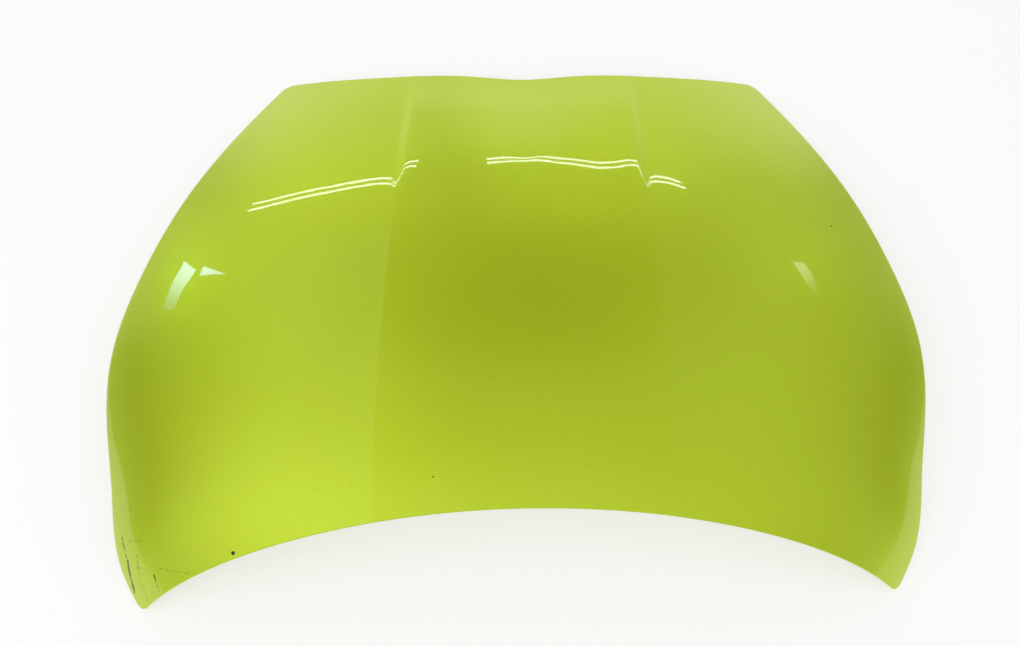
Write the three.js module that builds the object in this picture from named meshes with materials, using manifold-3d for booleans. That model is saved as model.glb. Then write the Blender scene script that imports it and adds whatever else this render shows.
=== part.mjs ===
// A pressed-steel car bonnet, lying skin up on its four corners as it would rest on a floor.
//
// The bonnet is an outer skin whose rim is hemmed round a stamped inner frame. Steel plates with weld nuts
// stiffen the frame where the hinges and the striker bolt on. Beads of mastic glue the frame to the skin, a
// bead of sealer closes the hem, and rubber buffers and the stay's socket are pushed into the frame.
//
// Millimetres, +X to the car's left, -Y to its nose, +Z up. A place on the skin is written as (u, t): u
// runs from -1 at the right edge to 1 at the left edge, and t from 0 at the front edge to 1 at the rear.

import * as THREE from "three";
import { mergeVertices } from "three/addons/utils/BufferGeometryUtils.js";
import Module from "manifold-3d";

const wasm = await Module();
wasm.setup();

// Plan of the skin
const OVERALL_LENGTH = 1064; // front tips to rear corners
const SHOULDER_WIDTH = 1415; // the widest place, at the rear ends of the headlamps
const TIP_WIDTH = 1225; // across the two front tips
const REAR_WIDTH = 1016; // across the two rear corners
const SHOULDER_STATION = 410; // front tips to the widest place
const FRONT_ARCH = 119; // how far the middle of the front edge lies behind the tips
const REAR_ARCH = 12; // how far the rear edge bows in between its corners
const REAR_NOTCH = 5; // a further shallow notch at the middle of the rear edge

// Heights of the skin over the floor it lies on
const FRONT_CROWN = 165; // middle of the front edge
const REAR_CROWN = 52; // middle of the rear edge
const CENTRE_ARCH = 70; // how far the centre line bows up between those two
const SIDE_ARCH = 80; // how far each side edge bows up between its two corners
const REAR_DIP = 12; // depth of the shallow valley that fades in towards the rear edge
const VALLEY_WIDTH = 105; // half width of that valley and of the notch

// Feature lines: two parallel creases, with the panel between them standing a little proud
const CREASE_SPACING = 456;
const CREASE_BLEND = 22; // width over which the panel steps down
const CREASE_STEP = 3; // the most that it steps down, towards the rear
const CREASE_FALL = 0.03; // the extra slope just outside a crease
const CREASE_FALL_REACH = 90; // how far outside the crease that slope dies away

// Sheet, hem and stamping depths
const SKIN_THICKNESS = 0.75;
const FRAME_THICKNESS = 0.65;
const CLEARANCE = 0.3; // between pieces that touch
const HEM_WIDTH = 12; // how far the folded rim reaches in under the frame
const CORNER_MARGIN = 6; // the corners are rounded to the hem's width and this much more
const FRAME_FLANGE = 4; // flat width of the frame's rim past the hem
const FRAME_WALL = 20; // width of the slope from that rim down to the frame's floor
const FRAME_DEPTH = 26; // skin's outside to the floor of the frame
const GROUND_CLEARANCE = 5; // the frame's floor stays this high over the plane that the corners stand on
const GLUE_FLANGE_DEPTH = 4.5; // skin's outside to the flanges round the windows

// Stamped frame: bands along the edges, two arms from the latch to the hinges, and three cross ribs
const SIDE_BAND = 122; // side edge to the windows
const FRONT_BAND = 128; // front edge to the windows
const REAR_BAND = 108; // rear edge to the windows
const ARM_WIDTH = 100; // window to window across an arm
const RIB_WIDTH = 90; // window to window across a cross rib
const ARM_FOOT = 70; // half the distance between the arms at the latch
const CROSS_RIB_STATION = 672; // front tips to the rib between the arms
const SIDE_RIB_STATION = 497; // front tips to the ribs outside the arms
const WINDOW_CORNER = 28;
const WINDOW_END = 80; // the least width of a rear side window at its rear end
const WINDOW_FLANGE = 11; // glue flange round each window
const WINDOW_WALL = 17; // width of the slope from that flange to the floor

// Hinge plates, latch plate and striker
const HINGE_INSET_X = 78; // rear corner to the middle of the hinge pad, across the car
const HINGE_INSET_Y = 110; // rear corner to the middle of the hinge pad, along the car
const HINGE_PAD = { length: 124, width: 56, corner: 14 };
const HINGE_BOLT_SPACING = 76;
const HINGE_PLATE_THICKNESS = 1.8;
const LATCH_INSET = 88; // middle of the front edge to the middle of the latch pad
const LATCH_PAD = { length: 74, width: 172, corner: 16 };
const LATCH_PLATE_THICKNESS = 1.5;
const PLATE_MARGIN = 4; // how much smaller a plate is than its pad, each side
const PAD_WALL = 6; // width of the step round a pad
const PAD_RISE = 3; // how far a pad stands off the floor, towards the skin
const BOLT_RADIUS = 4; // M8
const BOLT_HOLE_RADIUS = 4.75;
const NUT_WIDTH = 13; // across flats
const NUT_HEIGHT = 6.5;
const STRIKER_PLATE = { length: 96, width: 40, thickness: 3, corner: 10 };
const STRIKER_BOLT_SPACING = 72;
const STRIKER_WIRE_RADIUS = 4;
const STRIKER_LOOP_LENGTH = 34; // leg to leg
const STRIKER_LOOP_DROP = 46; // plate to the middle of the crossbar
const STRIKER_BEND = 9;
const BOLT_HEAD_HEIGHT = 5.5;
const BOLT_FLANGE_RADIUS = 8.5;
const BOLT_FLANGE_HEIGHT = 1.6;

// Rubber and plastic pieces pushed into the frame
const BUFFER_RADIUS = 11;
const BUFFER_HEIGHT = 16;
const BUFFER_STEM_RADIUS = 5;
const BUFFER_BARB_RADIUS = 6.4; // the lip that snaps in behind the sheet
const SMALL_PAD_RADIUS = 13.5;
const EDGE_INSET = 66; // edge to the middle of a buffer or the stay's socket
const FRONT_BUFFER_X = 455;
const SIDE_BUFFER_STATION = 700; // front tips to the side buffers
const SOCKET_STATION = 330; // front tips to the stay's socket
const SOCKET_RADIUS = 12;
const SOCKET_BORE = 5.5;

// Mastic, sealer and the frame's round holes
const MASTIC_RADIUS = 5;
const MASTIC_BULGE = 0.8; // how far the waist of a bead stands out
const SEALER_WIDTH = 3.2;
const SEALER_HEIGHT = 0.9;
const ACCESS_HOLE_RADIUS = 11;
const DRAIN_HOLE_RADIUS = 5;
const FRONT_HOLE_X = 270;
const DRAIN_STATIONS = [520, 830]; // front tips to the drain holes

// Facets
const INNER_COLUMNS = 4; // centre line to crease
const OUTER_COLUMNS = 10; // crease to the border
const ROWS = 18; // front border to rear border
const WINDOW_STEP = 70; // longest straight facet round a window
const ARC_STEPS = 3; // facets in a quarter turn of a window's or plate's corner

// How the side edge widens between its three stated widths, as [share of the way, share of the widening]
const TIP_TO_SHOULDER = [[0.156, 0.37], [0.44, 0.64], [0.75, 0.905]];
const SHOULDER_TO_REAR = [[0.236, 0.102], [0.512, 0.333], [0.772, 0.66]];

const BORDER = HEM_WIDTH + CORNER_MARGIN;
const HEM_GAP_TOP = SKIN_THICKNESS + CLEARANCE; // skin's outside to the frame's rim
const HEM_RETURN = HEM_GAP_TOP + FRAME_THICKNESS + CLEARANCE; // skin's outside to the folded rim
const HEM_TOTAL = HEM_RETURN + SKIN_THICKNESS;
const CREASE_X = CREASE_SPACING / 2;
const TIP_Y = -OVERALL_LENGTH / 2;
const REAR_Y = OVERALL_LENGTH / 2;
const { lerp, smoothstep, clamp } = THREE.MathUtils;

// Materials

const paint = new THREE.MeshStandardMaterial({ color: 0xb4d030, roughness: 0.12, metalness: 0.1 });
const framePaint = new THREE.MeshStandardMaterial({ color: 0xa8c22e, roughness: 0.35, metalness: 0.05 });
const zincSteel = new THREE.MeshStandardMaterial({ color: 0xa9abad, roughness: 0.4, metalness: 0.9 });
const rubber = new THREE.MeshStandardMaterial({ color: 0x1c1c1d, roughness: 0.8, metalness: 0 });
const nylon = new THREE.MeshStandardMaterial({ color: 0x2b2b2c, roughness: 0.5, metalness: 0 });
const mastic = new THREE.MeshStandardMaterial({ color: 0x3a3a38, roughness: 0.7, metalness: 0 });
const sealer = new THREE.MeshStandardMaterial({ color: 0xb9cd5a, roughness: 0.55, metalness: 0 });

// The skin's shape

// A curve through the knots [place, value] that bends smoothly and runs straight out at both ends.
function smoothThrough(knots) {
  const bend = knots.map(() => 0);
  const carry = knots.map(() => 0);
  for (let i = 1; i < knots.length - 1; i++) {
    const [before, here, after] = [knots[i - 1], knots[i], knots[i + 1]];
    const share = (here[0] - before[0]) / (after[0] - before[0]);
    const pivot = share * bend[i - 1] + 2;
    const slopeIn = (here[1] - before[1]) / (here[0] - before[0]);
    const turn = (after[1] - here[1]) / (after[0] - here[0]) - slopeIn;
    bend[i] = (share - 1) / pivot;
    carry[i] = ((6 * turn) / (after[0] - before[0]) - share * carry[i - 1]) / pivot;
  }
  for (let i = knots.length - 2; i >= 0; i--) bend[i] = bend[i] * bend[i + 1] + carry[i];
  return (place) => {
    let i = 0;
    while (i < knots.length - 2 && place > knots[i + 1][0]) i++;
    const width = knots[i + 1][0] - knots[i][0];
    const b = (place - knots[i][0]) / width;
    const a = 1 - b;
    const sag = ((a ** 3 - a) * bend[i] + (b ** 3 - b) * bend[i + 1]) * width ** 2;
    return a * knots[i][1] + b * knots[i + 1][1] + sag / 6;
  };
}

const shoulderT = SHOULDER_STATION / OVERALL_LENGTH;
const halfWidth = smoothThrough([
  [0, TIP_WIDTH / 2],
  ...TIP_TO_SHOULDER.map(([way, part]) => [way * shoulderT, lerp(TIP_WIDTH, SHOULDER_WIDTH, part) / 2]),
  [shoulderT, SHOULDER_WIDTH / 2],
  ...SHOULDER_TO_REAR.map(([way, part]) => [
    lerp(shoulderT, 1, way),
    lerp(SHOULDER_WIDTH, REAR_WIDTH, part) / 2,
  ]),
  [1, REAR_WIDTH / 2],
]);

// An arch from 0 to 0 whose top is 1 high and leans towards the front.
const arch = (t, lean) => 4 * t * (1 - t) * (1 + lean * (0.5 - t));
const hump = (x) => Math.exp(-((x / VALLEY_WIDTH) ** 2));
const centreY = (t) => lerp(TIP_Y + FRONT_ARCH, REAR_Y - REAR_ARCH, t);
const centreZ = (t) => lerp(FRONT_CROWN, REAR_CROWN, t) + CENTRE_ARCH * arch(t, 0.75);
const sideZ = (t) => SIDE_ARCH * arch(t, 0.35);

// The proud panel between the creases, and the slope that falls away outside them.
function creaseHeight(x, t) {
  const inside = 1 - smoothstep(x, CREASE_X - CREASE_BLEND / 2, CREASE_X + CREASE_BLEND / 2);
  const outside = Math.max(0, x - CREASE_X);
  const fall = CREASE_FALL * outside * Math.exp(-outside / CREASE_FALL_REACH);
  const step = CREASE_STEP * smoothstep(t, 0.58, 0.76) * (1 - smoothstep(t, 0.86, 1));
  return step * inside - fall;
}

// The outside of the skin at (u, t).
function skinPoint(u, t) {
  const a = Math.abs(u);
  const x = halfWidth(t) * a;
  const sideY = lerp(TIP_Y, REAR_Y, t);
  const bow = lerp(a ** 4, a ** 2, 0.84);
  const roundness = 0.5 + 0.3 * t; // the section rolls over more sharply towards the nose
  const fall = lerp(a ** 7, a ** 2, roundness);
  const rear = smoothstep(t, 0.45, 1);
  return new THREE.Vector3(
    x * Math.sign(u),
    lerp(centreY(t), sideY, bow) - REAR_NOTCH * rear ** 3 * hump(x),
    lerp(centreZ(t), sideZ(t), fall) - REAR_DIP * rear * hump(x) + creaseHeight(x, t),
  );
}

// The two directions along the surface at (u, t), and its normal.
function skinDirections(u, t) {
  const step = 1e-4;
  const along = skinPoint(u, t + step).sub(skinPoint(u, t - step)).divideScalar(2 * step);
  const across = skinPoint(u + step, t).sub(skinPoint(u - step, t)).divideScalar(2 * step);
  return { along, across, normal: across.clone().cross(along).normalize() };
}
const skinNormal = (u, t) => skinDirections(u, t).normal;

// How much of u or t one millimetre takes, measured square in from the side, front or rear edge.
function edgeShare(u, t, ofSide) {
  const { along, across } = skinDirections(u, t);
  const edge = ofSide ? along : across;
  return edge.length() / across.clone().cross(along).length();
}
const shareCache = new Map();
function cachedShare(kind, place) {
  const key = kind + place.toFixed(5);
  if (!shareCache.has(key)) {
    const inset = 1e-3;
    const value = {
      side: () => edgeShare(1 - inset, clamp(place, inset, 1 - inset), true),
      front: () => edgeShare(clamp(place, inset - 1, 1 - inset), inset, false),
      rear: () => edgeShare(clamp(place, inset - 1, 1 - inset), 1 - inset, false),
    }[kind]();
    shareCache.set(key, value);
  }
  return shareCache.get(key);
}

// Lines of the skin's net. A column gives u for a given t, and a row gives t for a given u.
const sideLine = (side, inset) => (t) => side * (1 - inset * cachedShare("side", t));
const frontLine = (inset) => (u) => inset * cachedShare("front", u);
const rearLine = (inset) => (u) => 1 - inset * cachedShare("rear", u);
const innerLine = (x) => (t) => x / halfWidth(t);
const crossLine = (share) => (u) => lerp(frontLine(BORDER)(u), rearLine(BORDER)(u), share);
function outerLine(side, share) {
  const start = CREASE_X + CREASE_BLEND / 2;
  return (t) => side * lerp(start / halfWidth(t), sideLine(1, BORDER)(t), share);
}

function meet(column, row) {
  let [u, t] = [0.5, 0.5];
  for (let i = 0; i < 12; i++) {
    u = column(t);
    t = row(u);
  }
  return [u, t];
}

// The skin near a place in plan, by halving the span of t that holds it.
function uvAt(x, y) {
  let [low, high] = [0, 1];
  for (let i = 0; i < 40; i++) {
    const t = (low + high) / 2;
    if (skinPoint(x / halfWidth(t), t).y < y) low = t;
    else high = t;
  }
  return [x / halfWidth(low), low];
}

// A point under the skin, measured square to it.
function under([u, t], depth) {
  const normal = skinNormal(u, t);
  return { point: skinPoint(u, t).addScaledVector(normal, -depth), normal };
}

// How deep the frame's floor lies under the skin: less near the corners, to stay clear of the ground.
function floorDepth([u, t]) {
  const clear = skinPoint(u, t).z - GROUND_CLEARANCE;
  return Math.min(FRAME_DEPTH, clear / skinNormal(u, t).z);
}
const onFloor = (uv) => under(uv, floorDepth(uv));

// The border of the skin: every vertex round the rim, anticlockwise from above. A straight vertex knows its
// line, and a corner vertex its angle, so that either can be placed at any distance in from the edge.

const columns = [];
for (const side of [-1, 1]) {
  const lines = [];
  for (let i = side < 0 ? 0 : 1; i <= INNER_COLUMNS; i++) {
    lines.push(innerLine((side * i * (CREASE_X - CREASE_BLEND / 2)) / INNER_COLUMNS));
  }
  for (let i = 0; i <= OUTER_COLUMNS; i++) lines.push(outerLine(side, i / OUTER_COLUMNS));
  columns.push(...(side < 0 ? lines.reverse() : lines));
}
const rows = Array.from({ length: ROWS + 1 }, (_, i) => crossLine(i / ROWS));

const CORNER_TURNS = [0, 1 / 6, 1 / 2, 5 / 6, 1].map((share) => (share * Math.PI) / 2);

// Past the border the corners are square, so that all of a corner's vertices fall together.
function cornerVertex(side, atRear, turn) {
  return (inset) => {
    const radius = Math.max(0, BORDER - inset);
    const [fromSide, fromEnd] = [Math.cos(turn), Math.sin(turn)].map((part) => inset + radius * (1 - part));
    return meet(sideLine(side, fromSide), atRear ? rearLine(fromEnd) : frontLine(fromEnd));
  };
}

const rim = [
  ...columns.slice(1, -1).map((column) => (inset) => meet(column, frontLine(inset))),
  ...CORNER_TURNS.toReversed().map((turn) => cornerVertex(1, false, turn)),
  ...rows.slice(1, -1).map((row) => (inset) => meet(sideLine(1, inset), row)),
  ...CORNER_TURNS.map((turn) => cornerVertex(1, true, turn)),
  ...columns.slice(1, -1).reverse().map((column) => (inset) => meet(column, rearLine(inset))),
  ...CORNER_TURNS.toReversed().map((turn) => cornerVertex(-1, true, turn)),
  ...rows.slice(1, -1).reverse().map((row) => (inset) => meet(sideLine(-1, inset), row)),
  ...CORNER_TURNS.map((turn) => cornerVertex(-1, false, turn)),
];

// The facets of the rim run straight from the edge to the hem's end and on to the border, and every layer
// of the hem is offset from those facets, so that layers never cross.
const rimKnots = rim.map((vertex) =>
  [0, HEM_WIDTH, BORDER].map((inset) => {
    const [u, t] = vertex(Math.min(inset, BORDER - 0.01));
    return { point: skinPoint(u, t), normal: skinNormal(u, t) };
  }),
);
function rimPoint(index, inset, depth) {
  const [edge, hem, border] = rimKnots[index];
  const [from, to, share] = inset <= HEM_WIDTH
    ? [edge, hem, inset / HEM_WIDTH]
    : [hem, border, (inset - HEM_WIDTH) / CORNER_MARGIN];
  const normal = from.normal.clone().lerp(to.normal, share).normalize();
  return { point: from.point.clone().lerp(to.point, share).addScaledVector(normal, -depth), normal };
}
const rimLoop = (inset, depth) => rim.map((_, index) => rimPoint(index, inset, depth));

// Meshes

// The faces between two loops of the same length, looking up when the second loop lies outside the first.
// Where neighbours in a loop are one and the same vertex, the face there comes to nothing and is left out.
function stripFaces(first, second) {
  return first
    .flatMap((a, i) => {
      const next = (i + 1) % first.length;
      return [[a, second[i], second[next]], [a, second[next], first[next]]];
    })
    .filter(([a, b, c]) => a !== b && b !== c && a !== c);
}

// Swaps the shared edges of triangles in plan until each triangle's circle is clear of its neighbours.
function evenTriangles(triangles, at) {
  const circleHolds = (a, b, c, d) => {
    const [p, q, r] = [a, b, c].map((corner) => corner.clone().sub(d));
    const turn = p.lengthSq() * q.cross(r) + q.lengthSq() * r.cross(p) + r.lengthSq() * p.cross(q);
    return turn > 1e-3;
  };
  for (let swapped = true; swapped; ) {
    swapped = false;
    const owner = new Map();
    triangles.forEach((corners, i) =>
      corners.forEach((a, k) => {
        const b = corners[(k + 1) % 3];
        owner.set(`${a} ${b}`, { i, a, b });
      }),
    );
    const done = new Set();
    for (const { i, a, b } of owner.values()) {
      const j = owner.get(`${b} ${a}`)?.i;
      if (j === undefined || done.has(i) || done.has(j)) continue;
      const [c, d] = [i, j].map((index) => triangles[index].find((corner) => corner !== a && corner !== b));
      if (!circleHolds(at(a), at(b), at(c), at(d))) continue;
      triangles[i] = [a, d, c];
      triangles[j] = [d, b, c];
      done.add(i).add(j);
      swapped = true;
    }
  }
  return triangles;
}

// Collects vertices and faces, and gives a closed geometry.
class Net {
  constructor() {
    this.positions = [];
    this.faces = [];
  }
  vertex(point) {
    this.positions.push(point.x, point.y, point.z);
    return this.positions.length / 3 - 1;
  }
  loop(points) {
    return points.map((point) => this.vertex(point));
  }
  quad(a, b, c, d) {
    this.faces.push(a, b, c, a, c, d);
  }
  strip(first, second) {
    for (const [a, b, c] of stripFaces(first, second)) this.faces.push(a, b, c);
  }
  geometry() {
    const made = new THREE.BufferGeometry();
    made.setAttribute("position", new THREE.Float32BufferAttribute(this.positions, 3));
    made.setIndex(this.faces);
    return made;
  }
}

// A three.js geometry as a solid that can be joined and cut, and back.
function solid(geometry) {
  const bare = new THREE.BufferGeometry().setAttribute("position", geometry.getAttribute("position"));
  if (geometry.index) bare.setIndex(geometry.index);
  const merged = mergeVertices(bare, 1e-3);
  return new wasm.Manifold(
    new wasm.Mesh({
      numProp: 3,
      vertProperties: new Float32Array(merged.attributes.position.array),
      triVerts: new Uint32Array(merged.index.array),
    }),
  );
}
function geometryOf(manifold) {
  const mesh = manifold.getMesh();
  const made = new THREE.BufferGeometry();
  made.setAttribute("position", new THREE.BufferAttribute(mesh.vertProperties, 3));
  made.setIndex(new THREE.BufferAttribute(mesh.triVerts, 1));
  made.computeVertexNormals();
  return made;
}

// Outer skin

// The skin's net of vertices at one depth. Its outermost ring is given, because the hem joins on there.
function skinSheet(net, depth, ring, facesUp) {
  const netVertex = (column, row) => net.vertex(under(meet(column, row), depth).point);
  const inner = columns.map((column) => rows.map((row) => netVertex(column, row)));
  const hemRing = new Map();
  const lastColumn = columns.length - 1;
  const lastRow = rows.length - 1;
  const ringStart = {
    front: 0,
    left: columns.length - 2 + CORNER_TURNS.length,
    rear: columns.length - 2 + rows.length - 2 + 2 * CORNER_TURNS.length,
    right: 2 * (columns.length - 2) + rows.length - 2 + 3 * CORNER_TURNS.length,
  };
  const hemVertex = (index) => {
    if (!hemRing.has(index)) hemRing.set(index, net.vertex(rimPoint(index, HEM_WIDTH, depth).point));
    return hemRing.get(index);
  };
  const face = (a, b, c, d) => (facesUp ? net.quad(a, b, c, d) : net.quad(d, c, b, a));

  for (let i = 0; i < lastColumn; i++) {
    for (let j = 0; j < lastRow; j++) {
      face(inner[i][j], inner[i + 1][j], inner[i + 1][j + 1], inner[i][j + 1]);
    }
  }

  // Each straight stretch of the border: the net's outer line, the hem's end and the rim, in order round.
  const stretches = [
    { start: ringStart.front, line: columns.map((_, i) => inner[i][0]) },
    { start: ringStart.left, line: rows.map((_, j) => inner[lastColumn][j]) },
    { start: ringStart.rear, line: columns.map((_, i) => inner[i][lastRow]).reverse() },
    { start: ringStart.right, line: rows.map((_, j) => inner[0][j]).reverse() },
  ];
  const count = ring.length;
  for (const { start, line } of stretches) {
    for (let k = 0; k < line.length - 1; k++) {
      const here = (start + k - 1 + count) % count;
      const next = (here + 1) % count;
      face(hemVertex(here), hemVertex(next), line[k + 1], line[k]);
      face(ring[here], ring[next], hemVertex(next), hemVertex(here));
    }
    // The corner that follows: a fan of the hem's end round the net's corner, and its rim.
    const first = (start + line.length - 2 + count) % count;
    for (let k = 0; k < CORNER_TURNS.length - 1; k++) {
      const here = (first + k) % count;
      const next = (here + 1) % count;
      face(ring[here], ring[next], hemVertex(next), hemVertex(here));
      const corner = line[line.length - 1];
      if (facesUp) net.faces.push(hemVertex(here), hemVertex(next), corner);
      else net.faces.push(corner, hemVertex(next), hemVertex(here));
    }
  }
}

function outerSkin() {
  const net = new Net();
  const foldRadius = HEM_TOTAL / 2;
  const innerFold = SKIN_THICKNESS + CLEARANCE;
  const section = [
    [foldRadius, 0],
    [0, foldRadius],
    [foldRadius, HEM_TOTAL],
    [HEM_WIDTH, HEM_TOTAL],
    [HEM_WIDTH, HEM_RETURN],
    [innerFold, HEM_RETURN],
    [innerFold, SKIN_THICKNESS],
  ];
  const loops = section.map(([inset, depth]) => net.loop(rimLoop(inset, depth).map(({ point }) => point)));
  for (let i = 0; i < loops.length - 1; i++) net.strip(loops[i], loops[i + 1]);
  skinSheet(net, 0, loops[0], true);
  skinSheet(net, SKIN_THICKNESS, loops[loops.length - 1], false);
  return net.geometry();
}

// Inner frame

// A closed outline in plan, as points that know which way is out. Only corners that turn outward are
// rounded.
function roundedOutline(corners, radius, steps, longest) {
  const outline = [];
  corners.forEach((corner, i) => {
    const before = corners[(i + corners.length - 1) % corners.length];
    const after = corners[(i + 1) % corners.length];
    const into = corner.clone().sub(before).normalize();
    const out = after.clone().sub(corner).normalize();
    const turn = Math.atan2(into.cross(out), into.dot(out));
    if (turn <= 0) {
      outline.push({ place: corner, away: new THREE.Vector2(into.y, -into.x) });
      return;
    }
    const tangent = radius * Math.tan(turn / 2);
    const start = corner.clone().addScaledVector(into, -tangent);
    const centre = start.clone().add(new THREE.Vector2(-into.y, into.x).multiplyScalar(radius));
    const facets = Math.max(1, Math.round((turn / (Math.PI / 2)) * steps));
    for (let k = 0; k <= facets; k++) {
      const sideways = new THREE.Vector2(into.y, -into.x);
      const away = sideways.rotateAround(new THREE.Vector2(), (turn * k) / facets);
      outline.push({ place: centre.clone().addScaledVector(away, radius), away });
    }
  });
  return outline.flatMap((here, i) => {
    const next = outline[(i + 1) % outline.length];
    const pieces = Math.max(1, Math.ceil(here.place.distanceTo(next.place) / longest));
    return Array.from({ length: pieces }, (_, k) => ({
      place: here.place.clone().lerp(next.place, k / pieces),
      away: here.away.clone().lerp(next.away, k / pieces).normalize(),
    }));
  });
}

const plan = (uv) => {
  const point = skinPoint(...uv);
  return new THREE.Vector2(point.x, point.y);
};
const hingeX = REAR_WIDTH / 2 - HINGE_INSET_X;
const hingeY = REAR_Y - HINGE_INSET_Y;
const latchY = TIP_Y + FRONT_ARCH + LATCH_INSET;
const armStart = new THREE.Vector2(ARM_FOOT, latchY);
const armEnd = new THREE.Vector2(hingeX - HINGE_PAD.width / 2, hingeY);
const armRun = armEnd.clone().sub(armStart);
const armReach = ((ARM_WIDTH / 2) * armRun.length()) / armRun.y;

// The edge of an arm at a given y: side 1 is outside the arm, -1 between the arms.
function armEdge(y, side) {
  const x = armStart.x + (armRun.x * (y - armStart.y)) / armRun.y;
  return new THREE.Vector2(x + side * armReach, y);
}
// The side band's edge where it crosses a given y.
function sideBandEdge(y) {
  const row = (u) => {
    const t = (y - TIP_Y) / OVERALL_LENGTH;
    return t + (y - skinPoint(u, t).y) / OVERALL_LENGTH;
  };
  return plan(meet(sideLine(1, SIDE_BAND), row));
}
const frontBandEdge = (x) => new THREE.Vector2(x, plan(meet(innerLine(x), frontLine(FRONT_BAND))).y);
const mirrored = (corners) => corners.map(({ x, y }) => new THREE.Vector2(-x, y)).reverse();

const crossRibY = TIP_Y + CROSS_RIB_STATION;
const sideRibY = TIP_Y + SIDE_RIB_STATION;
const ribReach = RIB_WIDTH / 2;
const flangeReach = WINDOW_FLANGE + WINDOW_WALL;
const latchRearY = latchY + LATCH_PAD.length / 2 + PAD_WALL + flangeReach + WINDOW_WALL;
const hingeFrontY = hingeY - HINGE_PAD.length / 2 - PAD_WALL - flangeReach - PAD_WALL;
const rearBandY = REAR_Y - REAR_ARCH - REAR_BAND;
const frontCornerX = LATCH_PAD.width / 2 + PAD_WALL + flangeReach + WINDOW_WALL;

function symmetricWindow(frontY, rearY) {
  const corners = [armEdge(frontY, -1), armEdge(rearY, -1)];
  return [...corners, ...mirrored(corners)];
}
const frontCorner = plan(meet(sideLine(1, SIDE_BAND), frontLine(FRONT_BAND)));
const sideFront = [
  frontBandEdge(frontCornerX),
  ...[1 / 3, 2 / 3].map((share) => frontBandEdge(lerp(frontCornerX, frontCorner.x, share))),
  frontCorner,
  sideBandEdge(sideRibY - ribReach),
  armEdge(sideRibY - ribReach, 1),
];
// The rear side windows end before the hinge pads, or sooner, where they get too narrow.
let sideRearEnd = hingeFrontY;
while (sideBandEdge(sideRearEnd).x - armEdge(sideRearEnd, 1).x < WINDOW_END) sideRearEnd -= 1;
const sideRear = [
  armEdge(sideRibY + ribReach, 1),
  sideBandEdge(sideRibY + ribReach),
  sideBandEdge(sideRearEnd),
  armEdge(sideRearEnd, 1),
];
const windows = [
  symmetricWindow(latchRearY, crossRibY - ribReach),
  symmetricWindow(crossRibY + ribReach, rearBandY),
  sideFront,
  mirrored(sideFront),
  sideRear,
  mirrored(sideRear),
].map((corners) => roundedOutline(corners, WINDOW_CORNER, ARC_STEPS, WINDOW_STEP));

// A ring round a window, some way out from its edge and some way under the skin.
const windowLoop = (outline, out, depthAt) =>
  outline.map(({ place, away }) => {
    const spot = place.clone().addScaledVector(away, out);
    const uv = uvAt(spot.x, spot.y);
    return under(uv, depthAt(uv));
  });

// A flat pad pressed into the frame's floor. It has its own axes: x across, y along, z out of the skin.
function padFrame(uv) {
  const { normal } = under(uv, 0);
  const across = new THREE.Vector3(1, 0, 0).addScaledVector(normal, -normal.x).normalize();
  const along = normal.clone().cross(across);
  const origin = under(uv, floorDepth(uv) - PAD_RISE).point;
  return new THREE.Matrix4().makeBasis(across, along, normal).setPosition(origin);
}
function rectangle(width, length) {
  const [x, y] = [width / 2, length / 2];
  return [[-x, -y], [x, -y], [x, y], [-x, y]].map(([a, b]) => new THREE.Vector2(a, b));
}
const platePad = (size) =>
  roundedOutline(rectangle(size.width, size.length), size.corner, ARC_STEPS, WINDOW_STEP);
function roundPad(radius) {
  const sides = 4 * ARC_STEPS;
  return Array.from({ length: sides }, (_, i) => {
    const away = new THREE.Vector2(1, 0).rotateAround(new THREE.Vector2(), (i * 2 * Math.PI) / sides);
    return { place: away.clone().multiplyScalar(radius), away };
  });
}

const padPair = (name, [u, t], outline, holes) => [
  { name: name + "_left", uv: [u, t], outline, holes },
  { name: name + "_right", uv: [-u, t], outline, holes },
];
const bufferHole = [[0, 0, BUFFER_STEM_RADIUS + CLEARANCE]];
const frontBufferPlace = meet(innerLine(FRONT_BUFFER_X), frontLine(EDGE_INSET));
const sideBufferPlace = meet(sideLine(1, EDGE_INSET), () => SIDE_BUFFER_STATION / OVERALL_LENGTH);
const pads = [
  ...padPair(
    "hinge",
    uvAt(hingeX, hingeY),
    platePad(HINGE_PAD),
    [-1, 1].map((end) => [0, (end * HINGE_BOLT_SPACING) / 2, BOLT_HOLE_RADIUS]),
  ),
  {
    name: "latch",
    uv: uvAt(0, latchY),
    outline: platePad(LATCH_PAD),
    holes: [-1, 1].map((end) => [(end * STRIKER_BOLT_SPACING) / 2, 0, BOLT_HOLE_RADIUS]),
  },
  ...padPair("buffer_front", frontBufferPlace, roundPad(SMALL_PAD_RADIUS), bufferHole),
  ...padPair("buffer_side", sideBufferPlace, roundPad(SMALL_PAD_RADIUS), bufferHole),
  {
    name: "stay_socket",
    uv: meet(sideLine(-1, EDGE_INSET), () => SOCKET_STATION / OVERALL_LENGTH),
    outline: roundPad(SMALL_PAD_RADIUS),
    holes: [[0, 0, SOCKET_BORE + 2]],
  },
].map((pad) => ({ ...pad, frame: padFrame(pad.uv) }));
const padNamed = (name) => pads.find((pad) => pad.name === name);

const onPad = (pad, x, y, z) => new THREE.Vector3(x, y, z).applyMatrix4(pad.frame);
const padNormal = (pad) => new THREE.Vector3().setFromMatrixColumn(pad.frame, 2);
const padLoop = (pad, out, sink) =>
  pad.outline.map(({ place, away }) => ({
    point: onPad(pad, place.x + away.x * out, place.y + away.y * out, -sink),
    normal: padNormal(pad),
  }));

// A cylinder with its axis along a pad's normal, to cut a hole or to make a round piece there.
function padCylinder(pad, x, y, radius, fromZ, toZ, sides) {
  const height = toZ - fromZ;
  const made = new THREE.CylinderGeometry(radius, radius, height, sides);
  made.rotateX(Math.PI / 2);
  made.translate(x, y, fromZ + height / 2);
  return solid(made.applyMatrix4(pad.frame));
}

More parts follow.
